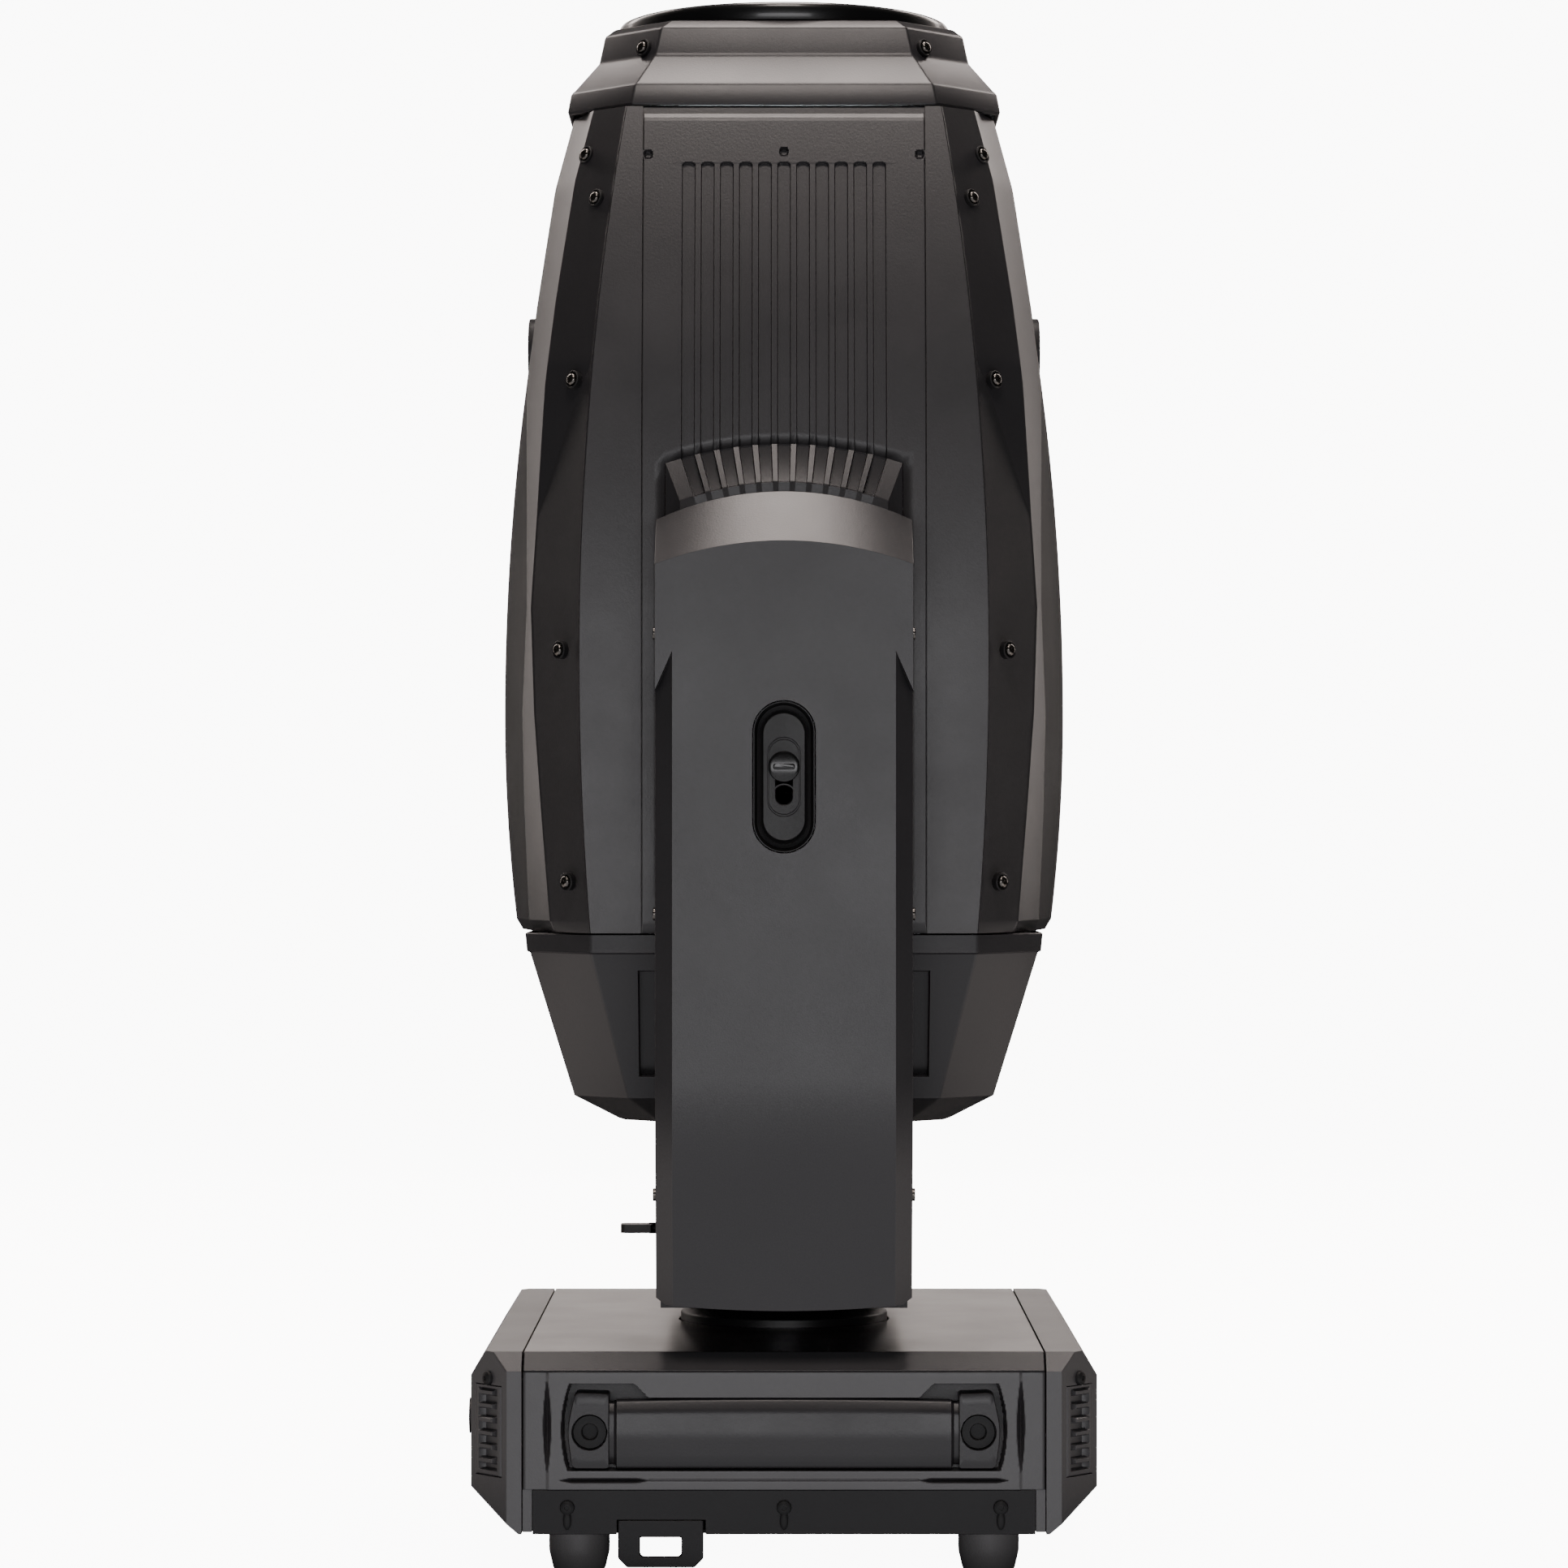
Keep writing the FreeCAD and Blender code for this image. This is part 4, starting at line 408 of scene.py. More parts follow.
# %% [markdown]
# ## The head's form
#
# The head is a barrel with flat facets: its half sizes along X and Y, and the half width of the flat side
# plate, each follow a parabola in height. The same three curves shape the covers, the plates and the
# panels, so the seams between them stay even from foot to neck. A loft through a few drawn sections would
# do too, but a parabola needs only four numbers and never waves.

# %% Curves of the head
FOOT, NECK = 320.0, 742.0        # heights of the covers' lower and upper ends
SWELL_END = 743.0                # height at which the curves reach the neck's size


def swell(z, belly, neck, belly_at, below):
    """belly minus a drop that grows with the square of the distance from belly_at and makes it neck at
    SWELL_END. below scales the drop under the belly."""
    drop = (belly - neck) / (SWELL_END - belly_at) ** 2
    away = z - belly_at
    return belly - drop * away ** 2 * np.where(away < 0, below, 1.0)


def half_depth(z):
    """Half the head along X: widest at 432."""
    return swell(z, 147.7, 112.0, 432.0, 1.5)


def half_width(z):
    """Half the head along Y at the side plates: widest at 470 and even below it."""
    return swell(z, 151.0, 113.0, 470.0, 0.0)


def half_plate(z):
    """Half the side plate along X."""
    return swell(z, 103.0, 80.0, 460.0, 1.0)


print("belly", half_depth(432.0), half_width(470.0), half_plate(460.0))

# %% [markdown]
# ### Head covers
#
# Each cover wraps one end of the head. From the side plate it turns through a dark facet, a narrow facet
# that faces the strip lights, and a broad end face. A shallow crease crosses the dark facet from the
# plate's edge down to the narrow facet, and below it the facet leans further out. One section, drawn as
# corners whose places change with height, gives all of this; the crease is just a corner that slides from
# one neighbour to the other. A bent and cut box would need every crease moved by hand.

# %% A cover's section and its skin
SEAM = 0.4                       # gap between a cover and the side plate
FACET_AT = (320, 382, 432, 486, 599, 642, 705, 743)
FACET_EDGE = (119, 124, 127.7, 129.5, 121.9, 116.7, 107.3, 97.7)    # where the narrow facet starts, along X
FACET_RIM = (131.6, 134, 134.8, 132, 133, 128, 119, 109)            # where it meets the end face
CREASE_TOP, CREASE_RUN = 612.0, 82.0
FOOT_CHAMFER, FOOT_ROW = 2.6, 5.5


def cover_corners(z):
    """Corners of the left cover's line on the near side, from the plate's edge to the end face, (rows, 5, 2).
    The crease corner slides with t from the plate's edge at 612 to the narrow facet's edge at 530."""
    plate, width, depth = half_plate(z) + SEAM, half_width(z), half_depth(z)
    edge_x, rim_x = np.interp(z, FACET_AT, FACET_EDGE), np.interp(z, FACET_AT, FACET_RIM)
    t = np.clip((CREASE_TOP - z) / CREASE_RUN, 0.03, 0.97)
    crease_x = plate + t * (edge_x - plate)
    crease_y = width - 1.54 * (crease_x - plate)
    edge_y = crease_y - 0.93 * (edge_x - crease_x)
    rim_y = edge_y - 3.0 * (rim_x - edge_x)
    shoulder = np.minimum(0.15 * width, rim_y - 22.0)
    corners = [(plate, width), (crease_x, crease_y), (edge_x, edge_y), (rim_x, rim_y), (depth, shoulder)]
    return np.stack([np.stack([-x, -y], axis=-1) for x, y in corners], axis=1)


def cover_skin():
    """Rows are heights; columns run round the section from the near plate edge to the far one. The foot row is
    pulled in beyond the plate, which makes the small chamfer above the tail."""
    z = np.concatenate([[FOOT, FOOT + FOOT_ROW], np.linspace(FOOT, NECK, 141)[2:]])
    near = cover_corners(z)
    line = filleted(np.concatenate([near, near[:, ::-1] * (1, -1)], axis=1),
                    np.array([0, 4.0, 1.6, 1.4, 3.0, 3.0, 1.4, 1.6, 4.0, 0]), steps=4, closed=False)
    away = line[0] / np.linalg.norm(line[0], axis=-1, keepdims=True)
    line[0] = line[0] - FOOT_CHAMFER * away * (np.abs(line[0][:, :1]) > 104.5)
    return np.concatenate([line, np.broadcast_to(z[:, None, None], (*line.shape[:2], 1))], axis=-1)


# %% The boss on each cover's end face, and both covers
DISC_Z, DISC_RADIUS, DISC_PROUD = 626.0, 19.0, 1.5


def raised_disc():
    """A plain round boss: a lathe form with a rounded edge and a sunk middle, laid along -X."""
    profile = np.array([(0, 0), (DISC_RADIUS - 2.6, 0), (DISC_RADIUS - 2.2, 0.5), (DISC_RADIUS - 1.0, 0.5),
                        (DISC_RADIUS - 0.3, 0.2), (DISC_RADIUS, -0.6), (DISC_RADIUS, -9.0), (0, -9.0)])
    points, faces = lathe(profile, 64)
    points = np.stack([-points[..., 2], points[..., 1], points[..., 0]], axis=-1)
    return points + (-half_depth(DISC_Z) - DISC_PROUD, 0, DISC_Z), faces


cover = cover_skin()
cover_faces = grid_faces(*cover.shape[:2])
disc_points, disc_faces = raised_disc()
for name in ("head_cover_left", "head_cover_right"):
    turn = turned_half if name.endswith("right") else np.copy
    make_piece(name + "_skin", turn(cover), cover_faces, [name], wall=2.6, edge=0.5, smooth_angle=24.0)
    make_piece(name + "_boss", turn(disc_points), disc_faces, [name])

# %% [markdown]
# ### Side plates and slotted panels
#
# The frame round each panel is a raised border. The panel has eleven blind slots pressed into it, their
# upper corners rounded, and it stops at the opening round the tilt hub, whose upper edge is an arc that
# follows the arm's round top. A grid whose columns sit exactly on the slots' edges keeps the walls crisp
# with few faces. Slots cut by booleans would leave long thin triangles that shade badly.

# %% Shared opening of plate and panel
OPEN_HALF, OPEN_LOW, OPEN_HIGH = 60.0, 338.0, 562.0
ARC_RISE, ARC_DROP = 4.8, 5.1            # the arc's middle over its chord's height, and its ends under it
FADE_BELOW, FADE_ABOVE = 110, 130


def arched(x, z):
    """Lifts or lowers points near the opening's top so that its edge is an arc: the shift is greatest on the
    edge and fades to nothing below and above it."""
    across = np.clip(np.abs(x) / OPEN_HALF, 0, 1)
    shift = ARC_RISE - (ARC_RISE + ARC_DROP) * across ** 2
    below, above = (z - (OPEN_HIGH - FADE_BELOW)) / FADE_BELOW, (OPEN_HIGH + FADE_ABOVE - z) / FADE_ABOVE
    return z + shift * np.clip(np.minimum(below, above), 0, 1)


def open_faces(x, z):
    """True for the faces of the grid x, z that lie outside the opening: their middle is compared with its
    edges."""
    mid_x, mid_z = (x[:-1, 1:] + x[:-1, :-1]) / 2, (z[1:, :-1] + z[:-1, :-1]) / 2
    return ~((np.abs(mid_x) < OPEN_HALF) & (mid_z > OPEN_LOW) & (mid_z < OPEN_HIGH))


# %% Side plates: border, step and web
WEB_HALF, WEB_STEP = 72.0, 3.0           # half the sunk web along X, and how far it is sunk


def side_plate():
    """Columns cross the plate: edge, border, a 3 mm step down to the web, and back up. Rows are heights."""
    share = np.array([1.0, 0.985, 0.55, 0.02, 0.0])
    web = np.array([-71.98, -60.0, -30.0, 0.0, 30.0, 60.0, 71.98])
    z = np.sort(np.concatenate([np.linspace(FOOT, NECK, 60), [OPEN_LOW, OPEN_HIGH]]))
    border = -WEB_HALF - (half_plate(z)[:, None] - WEB_HALF) * share
    x = np.concatenate([border, np.broadcast_to(web, (len(z), len(web))), -border[:, ::-1]], axis=1)
    flat_z = np.broadcast_to(z[:, None], x.shape)
    depth = half_width(z)[:, None] - WEB_STEP * (np.abs(x) < WEB_HALF - 0.01)
    points = np.stack([x, -depth, arched(x, flat_z)], axis=-1)
    return points, grid_faces(*x.shape, keep=open_faces(x, flat_z))


plate_points, plate_faces = side_plate()
make_piece("side_plate_left_skin", plate_points, plate_faces, ["side_plate_left"], wall=2.6, edge=0.45)
make_piece("side_plate_right_skin", turned_half(plate_points), plate_faces, ["side_plate_right"],
           wall=2.6, edge=0.45)

# %% Slotted panels
SLOT_HALF, SLOT_CORNER, SLOT_WALL, SLOT_DEEP = 3.5, 2.4, 0.5, 2.2
SLOT_PITCH, SLOT_TOP = 9.7, 712.5
SLOT_CENTRES = np.arange(-5, 6) * SLOT_PITCH
PANEL_HALF, PANEL_TOP = 71.6, 738.0
PIN_X, PIN_Z, MIDDLE_PIN_Z, PIN_RADIUS = 69.2, 716.5, 717.9, 2.5


def slot_depth(x, z):
    """How deep the panel is pressed in at x, z: the signed distance to the nearest slot, a box with rounded
    corners, turned into a wall 0.5 mm wide."""
    across = np.abs(x[..., None] - SLOT_CENTRES).min(axis=-1)
    gap = np.stack([across - (SLOT_HALF - SLOT_CORNER), z - (SLOT_TOP - SLOT_CORNER)], axis=-1)
    distance = np.linalg.norm(np.maximum(gap, 0), axis=-1) + np.minimum(gap.max(axis=-1), 0) - SLOT_CORNER
    return SLOT_DEEP * np.clip(-distance / SLOT_WALL, 0, 1)


def pin_hole(x, z):
    """Three small sunk holes near the panel's top, 5 mm across and 3 mm deep."""
    spots = np.array([(0.0, MIDDLE_PIN_Z), (-PIN_X, PIN_Z), (PIN_X, PIN_Z)])
    away = np.linalg.norm(np.stack([x, z], axis=-1)[..., None, :] - spots, axis=-1).min(axis=-1)
    return 3.0 * np.clip((PIN_RADIUS - away) / 0.6, 0, 1)


def vent_panel():
    """The panel's face: heights by widths, sunk at the slots and the holes, its upper rim under the neck."""
    wall = SLOT_HALF - np.array([0.0, SLOT_WALL, 1.3, SLOT_CORNER])
    edges = np.concatenate([-wall, wall[::-1]])
    holes = np.array([-2.5, -1.9, -1.0, 0.0, 1.0, 1.9, 2.5])
    x = np.concatenate([(SLOT_CENTRES[:, None] + edges).ravel(), holes, holes - PIN_X, holes + PIN_X,
                        [-PANEL_HALF, PANEL_HALF, -66.0, 66.0, -60.0, 60.0]])
    x = np.unique(np.round(x[np.abs(x) <= PANEL_HALF], 3))
    fine = np.concatenate([np.linspace(SLOT_TOP - 3.0, SLOT_TOP + 0.6, 10), PIN_Z + np.linspace(-2.6, 2.6, 8),
                           MIDDLE_PIN_Z + np.linspace(-2.6, 2.6, 8)])
    z = np.concatenate([np.linspace(FOOT, OPEN_LOW, 4), np.linspace(OPEN_LOW, OPEN_HIGH, 24),
                        np.linspace(OPEN_HIGH, SLOT_TOP - 3, 24), fine, np.linspace(722, PANEL_TOP, 5)])
    z = np.unique(np.round(z, 3))
    flat_x, flat_z = np.meshgrid(x, z)
    sunk = slot_depth(flat_x, flat_z) + pin_hole(flat_x, flat_z)
    heights = arched(flat_x, flat_z)
    points = np.stack([flat_x, sunk - half_width(heights), heights], axis=-1)
    return points, grid_faces(*flat_x.shape, keep=open_faces(flat_x, flat_z))


panel_points, panel_faces = vent_panel()
both_panels = joined((panel_points, panel_faces), (turned_half(panel_points), panel_faces))
make_piece("vent_panels_skin", *both_panels, ["vent_panels"], wall=0.7, smooth_angle=30.0)

# %% [markdown]
# ### Hub bosses
#
# Round each tilt hub a housing stands up out of the opening, so that the arm nearly touches it. Its slopes
# carry the slots on as ribs and catch the light from above. It is a ring grid: every column starts in the
# opening, climbs the slope and ends at the hub. A loft of two outlines would give the slope alone, and the
# ribs would have to be added one by one.

# %% A boss with ribs on its slopes
BOSS_HALF, BOSS_FACE = 59.7, 155.3       # half its width, and how far it stands out along Y
HUB_Z, HUB_RADIUS = 400.0, 25.4
BOSS_RUN, BOSS_DROP, BOSS_LIFT = 7.5, 20.0, 12.0     # how far the slopes draw the face in: sides, top, foot


def hub_boss():
    """Outline: arched top, left side, foot, right side, all inside the opening. The slope leads to a smaller
    outline at the boss's face. On the top run the slope sinks by over twice the slots' depth, and by nothing
    at its end."""
    edges = np.array([-SLOT_HALF, SLOT_WALL - SLOT_HALF, SLOT_HALF - SLOT_WALL, SLOT_HALF])
    walls = (SLOT_CENTRES[:, None] + edges).ravel()
    top_x = np.unique(np.round(np.concatenate([walls, np.linspace(-BOSS_HALF, BOSS_HALF, 13)]), 3))[::-1]
    rim_top = np.stack([top_x, arched(top_x, np.full_like(top_x, OPEN_HIGH))], axis=-1)
    low, high = OPEN_LOW + 0.3, rim_top[0, 1]
    side = np.linspace(0, 1, 14)[1:-1]
    left = np.stack([np.full_like(side, -BOSS_HALF), high + (low - high) * side], axis=-1)
    foot_x = np.linspace(-BOSS_HALF, BOSS_HALF, 14)
    foot = np.stack([foot_x, np.full_like(foot_x, low)], axis=-1)
    rim = np.concatenate([rim_top, left, foot, left[::-1] * (-1, 1)])
    upper = np.clip((rim[:, 1] - HUB_Z) / 150, 0, 1)
    face_z = rim[:, 1] - BOSS_DROP * upper + BOSS_LIFT * (rim[:, 1] < 345)
    face = np.stack([rim[:, 0] * (1 - BOSS_RUN / OPEN_HALF), face_z], axis=-1)
    steps = np.array([-0.25, 0.0, 0.04, 0.5, 0.95, 1.0])[:, None]
    plan = rim + (face - rim) * np.clip(steps, 0, 1)[..., None]
    start = half_width(rim[:, 1])
    y = start + (BOSS_FACE - start) * steps
    ribs = np.zeros(len(rim))
    ribs[:len(top_x)] = slot_depth(top_x, np.full_like(top_x, HUB_Z))
    y = y - ribs * np.array([1.0, 1.0, 1.3, 2.2, 2.4, 0.0])[:, None]
    angle = np.arctan2(rim[:, 1] - HUB_Z, rim[:, 0])
    hub = np.stack([HUB_RADIUS * np.cos(angle), HUB_Z + HUB_RADIUS * np.sin(angle)], axis=-1)
    plan = np.concatenate([plan, hub[None]])
    y = np.concatenate([y, np.full((1, len(rim)), BOSS_FACE)])
    return np.stack([plan[..., 0], -y, plan[..., 1]], axis=-1)


boss = hub_boss()
boss_faces = grid_faces(*boss.shape[:2], ring=True)
both_bosses = joined((boss, boss_faces), (turned_half(boss), boss_faces))
make_piece("hub_bosses_skin", *both_bosses, ["hub_bosses"], wall=1.2, smooth_angle=28.0)

# %% [markdown]
# ### Nose, lens ring and tail
#
# The nose is a stepped frustum whose square section has cut corners, with a round mouth for the lens ring.
# The ring is turned and polished. The tail narrows to the round fan opening. Nose and tail are stacks of
# eight-cornered sections with small fillets; the last rows turn over the rim and run down inside. Each
# could start as a cube with bevelled corners, but a stack of sections puts every step at its drawn height.

# %% Sections with cut corners
def cut_square(half_x, half_y, flat_x, flat_y):
    """Eight corners of a rectangle with its corners cut off; flat_x and flat_y are half its straight sides."""
    quarter = np.array([(half_x, -flat_y), (half_x, flat_y), (flat_x, half_y), (-flat_x, half_y)])
    return np.concatenate([quarter, -quarter])


def sections_at(steps, radius, arc=4):
    """Filleted sections (half_x, half_y, flat_x, flat_y, height) as one array of rings."""
    rings = [filleted(cut_square(*row[:4]), radius, arc) for row in steps]
    heights = np.array([row[4] for row in steps])[:, None, None]
    rings = np.stack(rings)
    return np.concatenate([rings, np.broadcast_to(heights, (*rings.shape[:2], 1))], axis=-1)


# %% Nose cowl
NOSE_STEPS = [(109.5, 75.8, 742.6), (111.6, 77.6, 742.9), (112.0, 78.0, 744.0), (110.4, 76.4, 753.0),
              (109.6, 75.6, 754.3), (108.4, 74.8, 755.4), (97.2, 66.9, 769.4), (96.2, 66.2, 770.8),
              (95.8, 65.9, 772.2), (93.4, 63.4, 784.2), (92.8, 62.8, 785.6), (91.6, 61.7, 786.6),
              (88.8, 58.8, 789.2), (87.6, 57.8, 789.9)]


def nose_cowl():
    """Each step is half the square, half its straight side and the height, from the neck to the top, with a
    rolled edge at each step. The flat top then runs in to the round mouth."""
    outer = sections_at([(half, half, flat, flat, z) for half, flat, z in NOSE_STEPS], 2.2)
    angle = np.arctan2(outer[-1, :, 1], outer[-1, :, 0])
    mouth = [np.stack([radius * np.cos(angle), radius * np.sin(angle), np.full(len(angle), z)], axis=-1)
             for radius, z in ((81.2, 790.0), (80.6, 789.6), (80.6, 778.5), (80.6, 776.5))]
    return np.concatenate([outer, np.stack(mouth)])


nose = nose_cowl()
make_piece("nose_cowl_skin", nose, grid_faces(*nose.shape[:2], ring=True), ["nose_cowl"],
           wall=2.0, smooth_angle=28.0)

# %% Lens ring and front lens
RING = [(77.6, 779.6), (80.3, 779.6), (80.3, 790.1), (86.9, 790.1), (87.6, 790.5), (88.0, 791.4),
        (88.0, 796.6), (87.7, 798.2), (86.8, 799.4), (85.4, 800.0), (83.4, 799.9), (81.6, 799.2),
        (80.2, 797.6), (79.0, 795.8), (77.9, 794.2), (77.6, 793.2), (77.6, 779.6)]
DOME_RADIUS, LENS_RADIUS, LENS_TOP, LENS_FOOT = 210.0, 79.8, 794.0, 776.0


def lens_profile():
    """A plano-convex lens: a circle's arc from the axis to the rim, a 0.4 mm edge break and the flat back."""
    reach = np.linspace(0, LENS_RADIUS, 24)
    crown = LENS_TOP - DOME_RADIUS + np.sqrt(DOME_RADIUS ** 2 - reach ** 2)
    rim = [(LENS_RADIUS, LENS_FOOT + 0.4), (LENS_RADIUS - 0.6, LENS_FOOT)]
    back = np.stack([reach[::-1] * 0.99, np.full(24, LENS_FOOT)], axis=-1)
    return np.concatenate([np.stack([reach, crown], axis=-1), rim, back])


make_piece("lens_bezel_ring", *lathe(RING, 160), ["lens_bezel"], smooth_angle=40.0)
make_piece("front_lens_glass", *lathe(lens_profile(), 128), ["front_lens"], smooth_angle=40.0)

# %% Sections of the tail
TAIL_Z = np.array([319.5, 318.9, 310.0, 309.2, 306.0, 301.0, 300.2, 296.0, 280.0, 262.0, 247.0, 246.2, 241.0,
                   236.2, 235.0, 233.8, 222.6, 221.4])
TAIL_AT = (221.0, 235.0, 309.0, 319.6)           # foot, chamfer's top, lip's foot and rim
TAIL_SIZES = ((85.0, 110.0, 132.0, 133.0), (88.0, 114.0, 145.0, 146.0),      # half sizes along X and Y
              (64.0, 80.0, 98.0, 98.0), (66.0, 84.0, 100.0, 100.0))          # half the straight sides
TAIL_LIP, LIP_FOOT = 1.6, 309.6


def tail_sections():
    """Sections from the rim under the covers to the foot. Below the lip each one is 1.6 mm smaller, and the
    first and last are drawn in a little more, as a rounded edge."""
    half_x, half_y, flat_x, flat_y = (np.interp(TAIL_Z, TAIL_AT, sizes) for sizes in TAIL_SIZES)
    lip = np.where(TAIL_Z > LIP_FOOT, 0.0, TAIL_LIP)
    rows = np.stack([half_x - lip, half_y - lip, flat_x - lip * 0.4, flat_y - lip * 0.4, TAIL_Z], axis=-1)
    rows[0, :4] -= 0.8
    rows[-1, :4] -= 1.2
    return sections_at(rows, 3.0, 3)


# %% Tail cowl with its vents
VENT_X = np.array([-74.0, -73.2, -40.0, 0.0, 40.0, 73.2, 74.0])
VENT_LOW, VENT_HIGH, VENT_SUNK = 246.6, 300.6, 6.0


def with_more_columns(ring):
    """A section's ring with points added on its long sides: at the vent's edges along X, evenly along Y."""
    parts = []
    for a, b in zip(ring, np.roll(ring, -1, axis=0)):
        parts.append(a[None])
        if abs(b[0] - a[0]) > 60:
            x = VENT_X * np.sign(b[0] - a[0]) * min(1.0, abs(a[0]) / 78.0 * 0.98)
            parts.append(a + (b - a) * ((x - a[0]) / (b[0] - a[0]))[:, None])
        elif abs(b[1] - a[1]) > 60:
            parts.append(a + (b - a) * np.linspace(0, 1, 9)[1:-1, None])
    return np.concatenate(parts)


def tail_cowl():
    """The sections, sunk by 6 mm over a long vent on the sides beside the arms, and the fan's round mouth."""
    rings = np.stack([with_more_columns(ring) for ring in tail_sections()])
    x, y, z = np.moveaxis(rings, -1, 0)
    vent = (np.abs(x) < 73.6) & (np.abs(y) > 84) & (z < VENT_HIGH) & (z > VENT_LOW)
    rings[..., 1] -= np.sign(y) * VENT_SUNK * vent
    angle = np.arctan2(rings[-1, :, 1], rings[-1, :, 0])
    mouth = [np.stack([radius * np.cos(angle), radius * np.sin(angle), np.full(len(angle), z)], axis=-1)
             for radius, z in ((60.0, 221.0), (58.6, 221.4), (58.0, 222.4), (58.0, 225.5))]
    return np.concatenate([rings, np.stack(mouth)])


tail = tail_cowl()
make_piece("tail_cowl_skin", tail, grid_faces(*tail.shape[:2], ring=True), ["tail_cowl"],
           wall=2.0, smooth_angle=26.0)

# %% [markdown]
# ## Arms of the yoke
#
# Each arm wears one moulded cover: a tall face, a crown that slopes back to the head, a foot that leans in,
# and a sloped flank that runs out to a point. It is a grid laid over the face; its outer rows and columns
# fold back as the side walls. Two rows are bent so that the slope's slanting end is a line of the grid, and
# the faces round the lock's opening are swapped for a ring of faces that follows the opening's round ends.
# A box with a boolean hole is quicker, but its bevel breaks up where the hole and the slope meet.

# %% Lines of the arm
ARM_HALF, ARM_BACK, ARM_FACE = 63.5, 161.0, 215.0
FOLD_Z, LEAN, LEAN_RUN = 224.0, 20.0, 93.0           # the foot leans in below the fold
STEP_IN, STEP_DEEP, STEP_TOP = 55.0, 8.5, 462.0      # the flank's slope: start along X, depth and top
STEP_POINT = 430.0                                   # the slope's top line bends down to here
CROWN_FOOT, CROWN_LEAN = 486.0, 28.0                 # where the face starts to round over, and by how much
HOLE_HALF, HOLE_LOW, HOLE_HIGH = 25.0, 350.0, 446.0  # square gap left in the grid for the lock
HOLE_X = np.arange(-HOLE_HALF, HOLE_HALF + 0.1, 2.5)
HOLE_Z = np.arange(HOLE_LOW, HOLE_HIGH + 1, 4.0)


def arc_height(x, top, radius):
    """A shallow arc over the arm: its height at x, with its highest point top in the middle."""
    return top - radius + np.sqrt(radius ** 2 - x ** 2)


def arm_face_depth(z):
    """How far the face stands out: flat above the fold, leaning in by 20 mm over 93 mm below it."""
    return ARM_FACE - LEAN * np.clip(FOLD_Z - z, 0, None) / LEAN_RUN


def arm_step(x, on):
    """The flank's slope: from nothing at 55 mm to its full depth at the side, on the rows where it is on."""
    return STEP_DEEP * np.clip((np.abs(x) - STEP_IN) / (ARM_HALF - STEP_IN), 0, 1) * on


# %% The cover's grid
def arm_grid():
    """Columns: back edge, flank, step, face and their mirror. Rows: back edge, foot, face, crown, back."""
    half = np.concatenate([HOLE_X[HOLE_X >= 0], [32.0, 40.0, 48.0, STEP_IN, 59.0, ARM_HALF, ARM_HALF]])
    x = np.concatenate([-half[:0:-1], half])
    back_column = np.zeros(len(x), bool)
    back_column[[0, -1]] = True
    z_rows = np.concatenate([[142, 160, 180, 200, FOLD_Z, 250, 280, 310, 340], HOLE_Z,
                             [STEP_TOP - 0.8, STEP_TOP, 474.0, CROWN_FOOT]])
    flat_x, flat_z = np.meshgrid(x, z_rows)
    fade = np.clip(np.minimum((flat_z - STEP_POINT) / 31.0, (CROWN_FOOT - flat_z) / 24.0), 0, 1)
    bent_z = flat_z - np.clip(np.abs(flat_x) - 54.0, 0, None) * 2.29 * fade
    on = (flat_z < STEP_TOP - 0.4).astype(float)
    depth = arm_face_depth(bent_z) - arm_step(flat_x, on)
    foot_z = 134.0 + 3.0 * np.minimum(np.abs(x) / 59.5, 1) ** 2 + 3.0 * np.clip((np.abs(x) - 59.5) / 4.0, 0, 1)
    foot_depth = arm_face_depth(foot_z) - arm_step(x, 1.0)
    low_crown, high_crown = arc_height(x, 514.0, 181.0), arc_height(x, 540.0, 150.0)
    rows_z = [foot_z, foot_z, *bent_z]
    rows_depth = [np.full(len(x), ARM_BACK), foot_depth, *depth]
    for share in (0.5, 1.0):
        rows_z.append(CROWN_FOOT + (low_crown - CROWN_FOOT) * share)
        rows_depth.append(np.full(len(x), ARM_FACE))
    for share in (0.5, 1.0):
        rows_z.append(low_crown + (high_crown - low_crown) * share)
        rows_depth.append(np.full(len(x), ARM_FACE - CROWN_LEAN * share))
    rows_z.append(high_crown)
    rows_depth.append(np.full(len(x), ARM_BACK))
    z, depth = np.stack(rows_z), np.where(back_column, ARM_BACK, np.stack(rows_depth))
    return np.stack([np.broadcast_to(x, z.shape), -depth, z], axis=-1)


def stadium_edge(points, half, reach, centre_z):
    """Where the ray from the centre of a stadium, a rectangle with half circles for ends, through each point
    meets its outline: a straight side first, and past its end the quadratic for a ray and a circle."""
    ray = points - (0.0, centre_z)
    ray = ray / np.linalg.norm(ray, axis=-1, keepdims=True)
    side = half / np.maximum(np.abs(ray[:, 0]), 1e-6)
    along = np.abs(ray[:, 1])
    cap = along * reach + np.sqrt(np.maximum((along * reach) ** 2 - reach ** 2 + half ** 2, 0))
    far = np.where(side * along <= reach, side, cap)
    return ray * far[:, None] + (0.0, centre_z)


# %% The lock's opening, and both arm covers
LOCK_Z, LOCK_HALF, LOCK_REACH, LOCK_WALL = 398.0, 15.6, 22.0, 7.0


